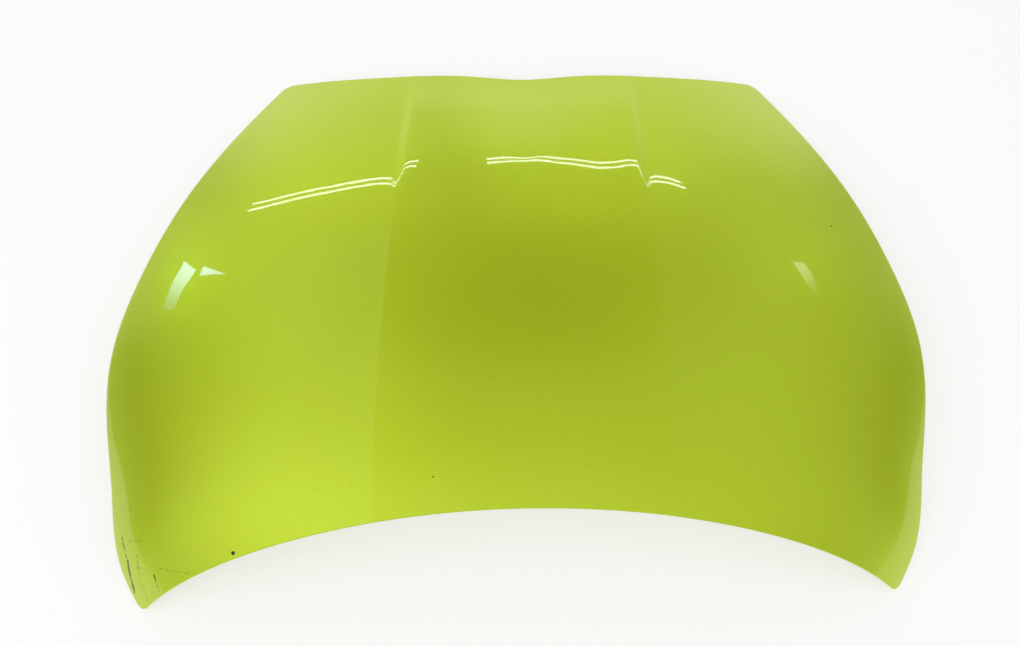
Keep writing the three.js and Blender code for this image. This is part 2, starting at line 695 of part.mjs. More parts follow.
// Round holes through the frame's floor, as places in plan with a radius.
function floorHoles() {
  const holes = [];
  for (const side of [-1, 1]) {
    for (const share of [0.3, 0.6]) {
      const spot = armStart.clone().addScaledVector(armRun, share);
      holes.push([side * spot.x, spot.y, ACCESS_HOLE_RADIUS]);
    }
    const frontSpot = plan(meet(innerLine(FRONT_HOLE_X), frontLine(EDGE_INSET)));
    holes.push([side * frontSpot.x, frontSpot.y, ACCESS_HOLE_RADIUS]);
    for (const station of DRAIN_STATIONS) {
      const spot = plan(meet(sideLine(1, EDGE_INSET), () => station / OVERALL_LENGTH));
      holes.push([side * spot.x, spot.y, DRAIN_HOLE_RADIUS]);
    }
    const ribSpot = armEdge(sideRibY, 1).lerp(sideBandEdge(sideRibY), 0.5);
    holes.push([side * ribSpot.x, ribSpot.y, ACCESS_HOLE_RADIUS]);
    const rearSpot = plan(meet(innerLine(ARM_FOOT * 2), rearLine(EDGE_INSET)));
    holes.push([side * rearSpot.x, rearSpot.y, ACCESS_HOLE_RADIUS]);
  }
  return holes;
}

function innerFrame() {
  const net = new Net();
  const spots = []; // vertices of the sheet's upper face, with normals
  const faces = [];
  const place = (loop) =>
    loop.map((spot, i) => {
      const again = i > 0 && spot.point.distanceTo(loop[i - 1].point) < 1e-6;
      return (again ? spots.length : spots.push(spot)) - 1;
    });
  const strip = (first, second) => faces.push(...stripFaces(first, second));

  const outside = place(rimLoop(SKIN_THICKNESS + 2 * CLEARANCE, HEM_GAP_TOP));
  const hemEnd = place(rimLoop(HEM_WIDTH, HEM_GAP_TOP));
  const bend = place(rimLoop(HEM_WIDTH + FRAME_FLANGE, HEM_GAP_TOP));
  const wallFoot = place(rim.map((vertex) => onFloor(vertex(HEM_WIDTH + FRAME_FLANGE + FRAME_WALL))));
  strip(hemEnd, outside);
  strip(bend, hemEnd);
  strip(wallFoot, bend);

  const holes = [];
  const windowEdges = windows.map((outline) => {
    const edge = place(windowLoop(outline, 0, () => GLUE_FLANGE_DEPTH));
    const flange = place(windowLoop(outline, WINDOW_FLANGE, () => GLUE_FLANGE_DEPTH));
    const foot = place(windowLoop(outline, flangeReach, floorDepth));
    strip(edge, flange);
    strip(flange, foot);
    holes.push(foot);
    return edge;
  });
  for (const pad of pads) {
    const middle = spots.push({ point: onPad(pad, 0, 0, 0), normal: padNormal(pad) }) - 1;
    const top = place(padLoop(pad, 0, 0));
    const base = place(padLoop(pad, PAD_WALL, PAD_RISE));
    strip(top.map(() => middle), top);
    strip(top, base);
    holes.push(base);
  }

  // The floor fills what is left between the wall's foot, the windows and the pads.
  const floorEdge = [...new Set(wallFoot)];
  const names = [...floorEdge, ...holes.flat()];
  const at = (name) => new THREE.Vector2(spots[name].point.x, spots[name].point.y);
  const floor = THREE.ShapeUtils.triangulateShape(floorEdge.map(at), holes.map((loop) => loop.map(at)));
  const facingUp = floor.map((corners) => {
    const [a, b, c] = corners.map((corner) => names[corner]);
    return at(b).sub(at(a)).cross(at(c).sub(at(a))) > 0 ? [a, b, c] : [a, c, b];
  });
  faces.push(...evenTriangles(facingUp, at));

  const tops = spots.map(({ point }) => net.vertex(point));
  const bottoms = spots.map(({ point, normal }) =>
    net.vertex(point.clone().addScaledVector(normal, -FRAME_THICKNESS)),
  );
  for (const [a, b, c] of faces) {
    net.faces.push(tops[a], tops[b], tops[c], bottoms[c], bottoms[b], bottoms[a]);
  }
  net.strip(outside.map((i) => tops[i]), outside.map((i) => bottoms[i]));
  for (const edge of windowEdges) {
    const inward = edge.toReversed();
    net.strip(inward.map((i) => tops[i]), inward.map((i) => bottoms[i]));
  }

  let sheet = solid(net.geometry());
  for (const pad of pads) {
    for (const [x, y, radius] of pad.holes) {
      sheet = sheet.subtract(padCylinder(pad, x, y, radius, -PAD_RISE, PAD_RISE, 12));
    }
  }
  for (const [x, y, radius] of floorHoles()) {
    const { point, normal } = onFloor(uvAt(x, y));
    const cutter = new THREE.CylinderGeometry(radius, radius, 4 * PAD_WALL, 10);
    cutter.applyQuaternion(new THREE.Quaternion().setFromUnitVectors(new THREE.Vector3(0, 1, 0), normal));
    cutter.translate(point.x, point.y, point.z);
    sheet = sheet.subtract(solid(cutter));
  }
  return geometryOf(sheet);
}

// Sealer round the hem's end

function hemSealer() {
  const net = new Net();
  const top = HEM_GAP_TOP + FRAME_THICKNESS + CLEARANCE;
  const start = HEM_WIDTH + CLEARANCE;
  const section = [
    [start, top],
    [start, top + SEALER_HEIGHT],
    [start + SEALER_WIDTH, top],
  ];
  const loops = section.map(([inset, depth]) => net.loop(rimLoop(inset, depth).map(({ point }) => point)));
  loops.forEach((loop, i) => net.strip(loop, loops[(i + 1) % loops.length]));
  return net.geometry();
}

// Plates, nuts, bolts and the striker

// A rounded plate on a pad's axes, from one height to another, with round holes.
function padPlate(pad, size, fromZ, thickness, holes) {
  const outline = roundedOutline(rectangle(size.width, size.length), size.corner, ARC_STEPS, WINDOW_STEP);
  const shape = new THREE.Shape(outline.map(({ place }) => place));
  for (const [x, y, radius] of holes) {
    shape.holes.push(new THREE.Path().absarc(x, y, radius, 0, 2 * Math.PI, true));
  }
  const options = { depth: thickness, bevelEnabled: false, curveSegments: 8 };
  const made = new THREE.ExtrudeGeometry(shape, options);
  return made.translate(0, 0, fromZ).applyMatrix4(pad.frame);
}
const smaller = (size) => ({
  length: size.length - 2 * PLATE_MARGIN,
  width: size.width - 2 * PLATE_MARGIN,
  corner: size.corner - PLATE_MARGIN,
});

function hexagon(widthAcrossFlats) {
  const corner = widthAcrossFlats / Math.sqrt(3);
  const points = Array.from({ length: 6 }, (_, i) => {
    const angle = (i * Math.PI) / 3;
    return new THREE.Vector2(corner * Math.cos(angle), corner * Math.sin(angle));
  });
  return new THREE.Shape(points);
}
function weldNut(pad, x, y, fromZ) {
  const shape = hexagon(NUT_WIDTH);
  shape.holes.push(new THREE.Path().absarc(0, 0, BOLT_RADIUS + CLEARANCE, 0, 2 * Math.PI, true));
  const options = { depth: NUT_HEIGHT, bevelEnabled: false, curveSegments: 6 };
  const made = new THREE.ExtrudeGeometry(shape, options);
  return made.translate(x, y, fromZ).applyMatrix4(pad.frame);
}

// A flanged hexagon bolt that hangs head down from a height on a pad's axes.
function flangeBolt(pad, x, y, headTopZ, tipZ) {
  const options = { depth: BOLT_HEAD_HEIGHT, bevelEnabled: false };
  const head = new THREE.ExtrudeGeometry(hexagon(NUT_WIDTH), options);
  head.translate(x, y, headTopZ - BOLT_HEAD_HEIGHT).applyMatrix4(pad.frame);
  const flange = padCylinder(pad, x, y, BOLT_FLANGE_RADIUS, headTopZ - BOLT_FLANGE_HEIGHT, headTopZ, 16);
  const shank = padCylinder(pad, x, y, BOLT_RADIUS, headTopZ - BOLT_FLANGE_HEIGHT, tipZ, 12);
  return geometryOf(solid(head).add(flange).add(shank));
}

// The striker's bent wire: down, fore and aft, and up again, ending on its plate.
function strikerWire(pad, plateZ) {
  const half = STRIKER_LOOP_LENGTH / 2;
  const low = plateZ - STRIKER_LOOP_DROP;
  const top = plateZ - CLEARANCE;
  const at = (y, z) => new THREE.Vector3(0, y, z);
  const corners = [at(-half, top), at(-half, low), at(half, low), at(half, top)];
  const bendStart = (from, to) => from.clone().add(to.clone().sub(from).setLength(STRIKER_BEND));
  const path = new THREE.CurvePath();
  let start = corners[0];
  for (const i of [1, 2]) {
    const [into, out] = [bendStart(corners[i], corners[i - 1]), bendStart(corners[i], corners[i + 1])];
    path.add(new THREE.LineCurve3(start, into));
    path.add(new THREE.QuadraticBezierCurve3(into, corners[i], out));
    start = out;
  }
  path.add(new THREE.LineCurve3(start, corners[3]));
  const circle = new THREE.Shape().absarc(0, 0, STRIKER_WIRE_RADIUS, 0, 2 * Math.PI);
  const made = new THREE.ExtrudeGeometry(circle, { steps: 20, curveSegments: 5, extrudePath: path });
  return made.applyMatrix4(pad.frame);
}

// Buffers and socket

// A turned piece on a pad's axis, from a closed profile of [radius, height].
function turned(pad, profile, sides) {
  const made = new THREE.LatheGeometry(profile.map(([radius, z]) => new THREE.Vector2(radius, z)), sides);
  return made.rotateX(Math.PI / 2).applyMatrix4(pad.frame);
}
const sheetUnder = -FRAME_THICKNESS - CLEARANCE;

function buffer(pad) {
  return turned(
    pad,
    [
      [0, sheetUnder - BUFFER_HEIGHT],
      [BUFFER_RADIUS * 0.72, sheetUnder - BUFFER_HEIGHT],
      [BUFFER_RADIUS, sheetUnder - BUFFER_HEIGHT + 4],
      [BUFFER_RADIUS, sheetUnder],
      [BUFFER_STEM_RADIUS, sheetUnder],
      [BUFFER_STEM_RADIUS, CLEARANCE],
      [BUFFER_BARB_RADIUS, CLEARANCE],
      [BUFFER_STEM_RADIUS * 0.5, 6],
      [0, 6],
    ],
    16,
  );
}

// The socket is a short tube with a flange under the sheet, and the stay's end goes into its blind bore.
function staySocket(pad) {
  const sleeve = SOCKET_BORE + 2 - CLEARANCE;
  return turned(
    pad,
    [
      [SOCKET_BORE, sheetUnder - 4],
      [SOCKET_RADIUS, sheetUnder - 4],
      [SOCKET_RADIUS, sheetUnder],
      [sleeve, sheetUnder],
      [sleeve, 9],
      [0, 9],
      [0, 7.5],
      [SOCKET_BORE, 7.5],
      [SOCKET_BORE, sheetUnder - 4],
    ],
    16,
  );
}

// Mastic beads between the glue flanges and the skin

// Where the beads sit: spread along each window's glue flange, between these pairs of corners.
function masticSpots() {
  const middle = WINDOW_FLANGE / 2;
  const spread = (outline, count, offset) =>
    Array.from({ length: count }, (_, i) => {
      const index = Math.round(((i + offset) * outline.length) / count) % outline.length;
      const { place, away } = outline[index];
      const spot = place.clone().addScaledVector(away, middle);
      return under(uvAt(spot.x, spot.y), GLUE_FLANGE_DEPTH).point;
    });
  return windows.flatMap((outline, i) => spread(outline, i < 2 ? 4 : 3, i < 2 ? 0.5 : 0.35));
}

// The height at which a line straight down first meets a face of a mesh that looks up, or else down.
function faceHeight(geometry, spot, looksUp) {
  const side = looksUp ? THREE.FrontSide : THREE.BackSide;
  const mesh = new THREE.Mesh(geometry, new THREE.MeshBasicMaterial({ side }));
  const from = new THREE.Vector3(spot.x, spot.y, 2 * FRONT_CROWN);
  return new THREE.Raycaster(from, new THREE.Vector3(0, 0, -1)).intersectObject(mesh)[0].point.z;
}

// A squashed round bead that lies between the flange's facets and the skin's, a clearance from both.
function masticBead(spot) {
  const net = new Net();
  const sides = 8;
  const gap = CLEARANCE / skinNormal(...uvAt(spot.x, spot.y)).z;
  const ring = (radius, share) =>
    net.loop(
      Array.from({ length: sides }, (_, i) => {
        const turn = (i * 2 * Math.PI) / sides;
        const place = new THREE.Vector2(spot.x + radius * Math.cos(turn), spot.y + radius * Math.sin(turn));
        const low = faceHeight(frame, place, true) + gap;
        const high = faceHeight(skin, place, false) - gap;
        return new THREE.Vector3(place.x, place.y, lerp(low, high, share));
      }),
    );
  const low = ring(MASTIC_RADIUS - MASTIC_BULGE, 0);
  const waist = ring(MASTIC_RADIUS, 0.5);
  const high = ring(MASTIC_RADIUS - MASTIC_BULGE, 1);
  net.strip(high, waist);
  net.strip(waist, low);
  for (let i = 1; i < sides - 1; i++) {
    net.faces.push(high[0], high[i], high[i + 1], low[0], low[i + 1], low[i]);
  }
  return net.geometry();
}

// Assembly

const skin = outerSkin();
const frame = innerFrame();
const bonnet = new THREE.Group();
function add(name, geometry, material) {
  const mesh = new THREE.Mesh(geometry, material);
  mesh.name = name;
  bonnet.add(mesh);
}

add("outer_skin", skin, paint);
add("inner_frame", frame, framePaint);
add("hem_sealer", hemSealer(), sealer);

for (const side of ["left", "right"]) {
  const pad = padNamed("hinge_" + side);
  const plateTop = CLEARANCE + HINGE_PLATE_THICKNESS;
  add(
    "hinge_reinforcement_" + side,
    padPlate(pad, smaller(HINGE_PAD), CLEARANCE, HINGE_PLATE_THICKNESS, pad.holes),
    zincSteel,
  );
  pad.holes.forEach(([x, y], i) => {
    const end = ["front", "rear"][i];
    add(`hinge_nut_${side}_${end}`, weldNut(pad, x, y, plateTop + CLEARANCE), zincSteel);
  });
}

const latchPad = padNamed("latch");
const latchPlateTop = CLEARANCE + LATCH_PLATE_THICKNESS;
const strikerTop = sheetUnder;
const strikerBottom = strikerTop - STRIKER_PLATE.thickness;
const strikerSize = { ...STRIKER_PLATE, width: STRIKER_PLATE.length, length: STRIKER_PLATE.width };
add(
  "latch_reinforcement",
  padPlate(latchPad, smaller(LATCH_PAD), CLEARANCE, LATCH_PLATE_THICKNESS, latchPad.holes),
  zincSteel,
);
add(
  "striker_plate",
  padPlate(latchPad, strikerSize, strikerBottom, STRIKER_PLATE.thickness, latchPad.holes),
  zincSteel,
);
add("striker_wire", strikerWire(latchPad, strikerBottom), zincSteel);
latchPad.holes.forEach(([x, y], i) => {
  const side = ["right", "left"][i];
  const nutBottom = latchPlateTop + CLEARANCE;
  add("latch_nut_" + side, weldNut(latchPad, x, y, nutBottom), zincSteel);
  add(
    "striker_bolt_" + side,
    flangeBolt(latchPad, x, y, strikerBottom - CLEARANCE, nutBottom + NUT_HEIGHT + BOLT_RADIUS / 2),
    zincSteel,
  );
});

for (const name of ["front_left", "front_right", "side_left", "side_right"]) {
  add("buffer_" + name, buffer(padNamed("buffer_" + name)), rubber);
}
add("stay_socket", staySocket(padNamed("stay_socket")), nylon);
masticSpots().forEach((spot, i) => {
  add("mastic_bead_" + String(i + 1).padStart(2, "0"), masticBead(spot), mastic);
});

// The part's origin is under its middle, on the floor that its corners stand on.
const size = new THREE.Box3().setFromObject(bonnet);
const middle = size.getCenter(new THREE.Vector3());
bonnet.children.forEach((mesh) => mesh.geometry.translate(-middle.x, -middle.y, -size.min.z));

export default bonnet;
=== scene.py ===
# %% [markdown]
# # A pressed-steel car bonnet
# The bonnet lies skin up on a pale floor. Its plates, nuts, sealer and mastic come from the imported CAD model.
# This script makes finer meshes for the folded skin, the stamped frame and the turned and bent parts, and
# adds paint and light. Sizes are written in millimetres and become metres at the end, because that is how a
# press shop talks about a panel.

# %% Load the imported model
import math

import bmesh
import bpy
import numpy as np
from mathutils import Matrix, Vector


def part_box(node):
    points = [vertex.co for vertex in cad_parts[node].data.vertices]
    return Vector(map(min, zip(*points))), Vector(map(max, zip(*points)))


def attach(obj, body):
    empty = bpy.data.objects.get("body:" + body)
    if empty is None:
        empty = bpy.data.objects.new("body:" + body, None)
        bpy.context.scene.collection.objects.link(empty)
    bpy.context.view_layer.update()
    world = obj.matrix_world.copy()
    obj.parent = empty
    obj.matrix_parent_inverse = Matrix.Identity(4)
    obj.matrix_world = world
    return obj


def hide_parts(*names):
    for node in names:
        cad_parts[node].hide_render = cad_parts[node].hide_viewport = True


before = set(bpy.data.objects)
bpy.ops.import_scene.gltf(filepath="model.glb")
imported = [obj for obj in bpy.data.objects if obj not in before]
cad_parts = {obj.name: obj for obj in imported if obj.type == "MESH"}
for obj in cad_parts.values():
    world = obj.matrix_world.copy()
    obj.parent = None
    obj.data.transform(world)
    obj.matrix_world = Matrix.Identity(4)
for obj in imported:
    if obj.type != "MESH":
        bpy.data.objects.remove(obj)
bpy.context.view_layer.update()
print("nodes:", len(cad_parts))

# %% [markdown]
# ## The camera
# The photograph was taken from above the bonnet's front edge, a little to one side and slightly tilted. A
# camera can be aimed with a Track To constraint, but then it can't be tilted about its own axis. Here its
# three axes are worked out and written into its matrix, so that the tilt is exact. The lens shift slides the
# picture in its frame without turning the camera.

# %% Camera
AIM = Vector((74.9, -53.3, 89.6)) / 1000
AIM_DISTANCE = 1.4231
AZIMUTH, ELEVATION, TILT = (math.radians(angle) for angle in (-5.11, 65.08, 3.89))

back = Vector((math.sin(AZIMUTH), -math.cos(AZIMUTH), math.tan(ELEVATION))).normalized()
level = Vector((0, 0, 1)).cross(back).normalized()
upward = back.cross(level)
sideways = math.cos(TILT) * level + math.sin(TILT) * upward
upright = back.cross(sideways)

camera_data = bpy.data.cameras.new("camera")
camera_data.sensor_width = 36
camera_data.lens = 28.24
camera_data.shift_x = -0.0542
camera_data.shift_y = -0.0122
camera_data.clip_end = 50
camera = bpy.data.objects.new("camera", camera_data)
bpy.context.scene.collection.objects.link(camera)
camera.matrix_world = Matrix.Translation(AIM + AIM_DISTANCE * back) @ Matrix(
    (sideways, upright, back)
).transposed().to_4x4()
bpy.context.scene.camera = camera
print("camera at", [round(value, 3) for value in camera.matrix_world.translation])

# %% [markdown]
# ## The skin's shape
# A bonnet is a double-curved sheet: arched from front to back, rolled down at the sides, with a proud panel
# between two creases. It could be sculpted or bent from a subdivided cage, but the pressed frame below has
# to follow it at a steady distance. So the shape is written as a law that gives the point of the skin for a
# share `u` of the half width and a share `t` of the length, and every sheet reads the same law.

# %% The law of the surface
OVERALL_LENGTH = 1064
TIP_WIDTH, SHOULDER_WIDTH, REAR_WIDTH = 1225, 1415, 1016
SHOULDER_STATION = 410
FRONT_ARCH, REAR_ARCH, REAR_NOTCH = 119, 12, 5
FRONT_CROWN, REAR_CROWN = 165, 52
CENTRE_ARCH, SIDE_ARCH, REAR_DIP = 70, 80, 12
VALLEY_WIDTH = 105
CREASE_X, CREASE_BLEND, CREASE_STEP = 228, 22, 3
CREASE_FALL, CREASE_FALL_REACH = 0.03, 90
CREASE_START, CREASE_FULL, CREASE_FADE = 0.58, 0.76, 0.86  # shares of the length
CENTRE_LEAN, SIDE_LEAN, EDGE_BOW, VALLEY_START = 0.75, 0.35, 0.84, 0.45
TIP_Y, REAR_Y = -OVERALL_LENGTH / 2, OVERALL_LENGTH / 2
ORIGIN = np.array([0, 1.758, 0.422])  # the law's own origin lies this far from the model's

SIDE_KNOTS = [
    (0, TIP_WIDTH / 2), (0.156, 647.65), (0.44, 673.3), (0.75, 698.475), (1, SHOULDER_WIDTH / 2),
    (1.236, 687.151), (1.512, 641.067), (1.772, 575.83), (2, REAR_WIDTH / 2),
]  # 0 is a tip, 1 the shoulder and 2 the rear corner


def lerp(start, end, share):
    return start + (end - start) * share


def smoothstep(value, low, high):
    share = np.clip((value - low) / (high - low), 0, 1)
    return share * share * (3 - 2 * share)


shoulder = SHOULDER_STATION / OVERALL_LENGTH
knot_t = np.array([
    way * shoulder if way <= 1 else lerp(shoulder, 1, way - 1) for way, _ in SIDE_KNOTS
])
knot_half = np.array([half for _, half in SIDE_KNOTS], float)


def spline_bends(places, values):
    """Second derivatives of the smooth curve through the knots, with straight ends."""
    count = len(places)
    gaps = np.diff(places)
    slopes = np.diff(values) / gaps
    system = np.eye(count)
    turns = np.zeros(count)
    for i in range(1, count - 1):
        system[i, i - 1:i + 2] = gaps[i - 1], 2 * (gaps[i - 1] + gaps[i]), gaps[i]
        turns[i] = 6 * (slopes[i] - slopes[i - 1])
    return np.linalg.solve(system, turns)


knot_bend = spline_bends(knot_t, knot_half)


def half_width(t):
    i = np.clip(np.searchsorted(knot_t, t) - 1, 0, len(knot_t) - 2)
    gap = knot_t[i + 1] - knot_t[i]
    b = (t - knot_t[i]) / gap
    a = 1 - b
    sag = ((a**3 - a) * knot_bend[i] + (b**3 - b) * knot_bend[i + 1]) * gap**2
    return a * knot_half[i] + b * knot_half[i + 1] + sag / 6


def arch(t, lean):
    return 4 * t * (1 - t) * (1 + lean * (0.5 - t))


def skin_point(u, t):
    """The outside of the skin, in millimetres, for arrays of u and t."""
    a = np.abs(u)
    x = half_width(t) * a
    hump = np.exp(-((x / VALLEY_WIDTH) ** 2))
    rear = smoothstep(t, VALLEY_START, 1)
    centre_y = lerp(TIP_Y + FRONT_ARCH, REAR_Y - REAR_ARCH, t)
    bow = lerp(a**4, a**2, EDGE_BOW)
    centre_z = lerp(FRONT_CROWN, REAR_CROWN, t) + CENTRE_ARCH * arch(t, CENTRE_LEAN)
    side_z = SIDE_ARCH * arch(t, SIDE_LEAN)
    fall = lerp(a**7, a**2, 0.5 + 0.3 * t)
    inside = 1 - smoothstep(x, CREASE_X - CREASE_BLEND / 2, CREASE_X + CREASE_BLEND / 2)
    outside = np.maximum(0, x - CREASE_X)
    step = CREASE_STEP * smoothstep(t, CREASE_START, CREASE_FULL) * (1 - smoothstep(t, CREASE_FADE, 1))
    crease = step * inside - CREASE_FALL * outside * np.exp(-outside / CREASE_FALL_REACH)
    return np.stack([
        x * np.sign(u),
        lerp(centre_y, lerp(TIP_Y, REAR_Y, t), bow) - REAR_NOTCH * rear**3 * hump,
        lerp(centre_z, side_z, fall) - REAR_DIP * rear * hump + crease,
    ], axis=-1)


def skin_directions(u, t):
    """The directions along and across the skin, and its normal."""
    step = 1e-4
    along = (skin_point(u, t + step) - skin_point(u, t - step)) / (2 * step)
    across = (skin_point(u + step, t) - skin_point(u - step, t)) / (2 * step)
    normal = np.cross(across, along)
    return along, across, normal / np.linalg.norm(normal, axis=-1, keepdims=True)


def under_skin(u, t, depth):
    """Points that lie under the skin by a depth measured square to it, in millimetres."""
    normal = skin_directions(u, t)[2]
    return skin_point(u, t) - normal * np.asarray(depth)[..., None]


print("half width at the shoulder:", round(float(half_width(np.array([shoulder]))[0]), 1), "mm")

# %% [markdown]
# ## Rows and columns that follow the edge
# A panel's edge is folded with a steady width, so its mesh needs lines that run beside the edge at steady
# distances, and the corners need to be round. A plain grid has neither. Here each vertex gets two numbers,
# a column and a row, and the last whole step of each is the border: there the grid's square corner is bent
# into a quarter of a disc.

# %% From rows and columns to the law's u and t
BORDER = 18  # the border's width, which is also the corners' radius
EDGE_SAMPLES = np.linspace(-1, 1, 4001)


def edge_shares(u, t, side):
    """How much of u or t one millimetre takes, measured square in from the edge."""
    along, across, _ = skin_directions(u, t)
    edge = along if side else across
    area = np.linalg.norm(np.cross(across, along), axis=-1)
    return np.linalg.norm(edge, axis=-1) / area


near = 1e-3
sampled_t = np.clip(EDGE_SAMPLES, near, 1 - near)
sampled_u = np.clip(EDGE_SAMPLES, near - 1, 1 - near)
side_shares = edge_shares(np.full_like(sampled_t, 1 - near), sampled_t, True)
front_shares = edge_shares(sampled_u, np.full_like(sampled_u, near), False)
rear_shares = edge_shares(sampled_u, np.full_like(sampled_u, 1 - near), False)


def side_line(inset, t):
    return 1 - inset * np.interp(t, EDGE_SAMPLES, side_shares)


def front_line(inset, u):
    return inset * np.interp(u, EDGE_SAMPLES, front_shares)


def rear_line(inset, u):
    return 1 - inset * np.interp(u, EDGE_SAMPLES, rear_shares)


ROUNDS = 12  # two lines that depend on each other are followed this often until they meet


def meet(column, row):
    """u and t where columns (-4 to 4) cross rows (0 to 3); the outermost step of each is the border."""
    side, c = np.sign(column), np.abs(column)
    p = np.clip(c - 3, 0, 1)
    q = np.clip(np.maximum(1 - row, row - 2), 0, 1)
    far = np.maximum(p, q)
    near_share = np.minimum(p, q) / np.maximum(far, 1e-9)
    turn = np.where(p >= q, near_share, 2 - near_share) * math.pi / 4
    corner = (p > 0) & (q > 0)
    c = np.where(corner, 3 + far * np.cos(turn), c)
    q = np.where(corner, far * np.sin(turn), q)
    row = np.where(corner, np.where(row < 1.5, 1 - q, 2 + q), row)
    low, high = CREASE_X - CREASE_BLEND / 2, CREASE_X + CREASE_BLEND / 2
    u, t = np.full_like(c, 0.5), np.full_like(c, 0.5)
    for _ in range(ROUNDS):
        half = half_width(t)
        edge = side_line(BORDER, t)
        u = side * np.select(
            [c <= 1, c <= 2, c <= 3],
            [c * low / half, lerp(low, high, c - 1) / half, lerp(high / half, edge, c - 2)],
            side_line(BORDER * (4 - c), t),
        )
        t = np.select(
            [row <= 1, row <= 2],
            [front_line(BORDER * row, u), lerp(front_line(BORDER, u), rear_line(BORDER, u), row - 1)],
            rear_line(BORDER * (3 - row), u),
        )
    return u, t


# %% [markdown]
# ## The skin
# The outer panel is one sheet of 0.75 mm steel. Its rim is folded right round over the frame's rim, which
# is called a hem: it holds the two together and hides the cut edge. A Solidify modifier would give the
# thickness but not the fold. So a grid is laid on the law, its edge is extruded round the fold ring by ring,
# and a second, flipped grid closes the inside.

# %% Skin
SHEET = 0.75
HEM_WIDTH = 12
HEM_DEPTH = 2.75
FOLD_RADIUS = HEM_DEPTH / 2
FOLD_STEPS = 8
FLAT_RINGS = (5, 11.6)  # along the flat of the hem
CUT_EASE = 0.2  # the small chamfer on the sheet's cut edge
COLUMN_STEPS = [22, 6, 40, 6]  # centre line to crease, over the crease, to the border, border
ROW_STEPS = [6, 100, 6]  # front border, panel, rear border


def stepped(steps, first, last):
    """Places from first to last, with so many even steps in each whole part."""
    places = [np.linspace(i, i + 1, count, endpoint=False) for i, count in enumerate(steps)]
    return np.clip(np.concatenate(places + [[len(steps)]]), first, last)


outer = FOLD_RADIUS / BORDER
right_columns = stepped(COLUMN_STEPS, 0, 4 - outer)
skin_columns = np.concatenate([-right_columns[:0:-1], right_columns])
skin_rows = stepped(ROW_STEPS, outer, 3 - outer)


def new_sheet(columns, rows):
    """A grid whose vertices remember their column, row and depth."""
    sheet = bmesh.new()
    column_of, row_of, depth_of = (
        sheet.verts.layers.float.new(name) for name in ("column", "row", "depth")
    )
    bmesh.ops.create_grid(sheet, x_segments=len(columns) - 1, y_segments=len(rows) - 1, size=1)
    for vert in sheet.verts:
        vert[column_of] = columns[round((vert.co.x + 1) / 2 * (len(columns) - 1))]
        vert[row_of] = rows[round((vert.co.y + 1) / 2 * (len(rows) - 1))]
        vert[depth_of] = 0
    return sheet, column_of, row_of, depth_of


def write_places(sheet, places):
    """Moves every vertex to its place, given in the law's millimetres."""
    for vert, place in zip(sheet.verts, (places - ORIGIN) / 1000):
        vert.co = place


def only(kind, parts):
    """The vertices, edges or faces among the parts that an operator gives back."""
    return [part for part in parts if isinstance(part, kind)]


VERT, EDGE, FACE = bmesh.types.BMVert, bmesh.types.BMEdge, bmesh.types.BMFace


def layer_values(sheet, layer):
    return np.array([vert[layer] for vert in sheet.verts])


def new_object(sheet, name):
    """Turns a bmesh into an object in the scene."""
    data = bpy.data.meshes.new(name)
    sheet.to_mesh(data)
    sheet.free()
    made = bpy.data.objects.new(name, data)
    bpy.context.scene.collection.objects.link(made)
    return made


def finished(sheet, name, node):
    """Turns a bmesh into an object that rides on the bonnet and stands for a CAD node."""
    made = new_object(sheet, name)
    for face in made.data.polygons:
        face.use_smooth = True
    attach(made, "root")
    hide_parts(node)
    return made


skin, column_of, row_of, depth_of = new_sheet(skin_columns, skin_rows)
upper = list(skin.faces)
copied = bmesh.ops.duplicate(skin, geom=upper + list(skin.edges) + list(skin.verts))["geom"]
inside_faces = only(FACE, copied)
for vert in only(VERT, copied):
    vert[depth_of] = SHEET
bmesh.ops.reverse_faces(skin, faces=inside_faces)

fold = [math.pi * i / FOLD_STEPS for i in range(1, FOLD_STEPS + 1)]
hem_rings = [(FOLD_RADIUS * (1 - math.sin(a)), FOLD_RADIUS * (1 - math.cos(a))) for a in fold]
hem_rings += [(inset, HEM_DEPTH) for inset in FLAT_RINGS]
hem_rings += [(HEM_WIDTH, HEM_DEPTH - CUT_EASE), (HEM_WIDTH, HEM_DEPTH - SHEET + CUT_EASE)]
hem_rings += [(inset, HEM_DEPTH - SHEET) for inset in FLAT_RINGS[::-1]]
inner_radius = FOLD_RADIUS - SHEET
hem_rings += [
    (FOLD_RADIUS - inner_radius * math.sin(a), FOLD_RADIUS - inner_radius * math.cos(a))
    for a in [math.pi] + fold[-2::-2] + [0]
]

ring = [edge for edge in skin.edges if edge.is_boundary and edge.verts[0][depth_of] == 0]
for inset, depth in hem_rings:
    extruded = bmesh.ops.extrude_edge_only(skin, edges=ring)["geom"]
    ring = only(EDGE, extruded)
    wanted = 1 - inset / BORDER
    for vert in only(VERT, extruded):
        p = max(0, abs(vert[column_of]) - 3)
        q = max(0, 1 - vert[row_of], vert[row_of] - 2)
        grow = wanted / max(p, q)
        if p > 0:
            vert[column_of] = math.copysign(3 + p * grow, vert[column_of])
        if q > 0:
            vert[row_of] = 1 - q * grow if vert[row_of] < 1.5 else 2 + q * grow
        vert[depth_of] = depth

columns, rows, depths = (layer_values(skin, layer) for layer in (column_of, row_of, depth_of))
places = under_skin(*meet(columns, rows), depths)
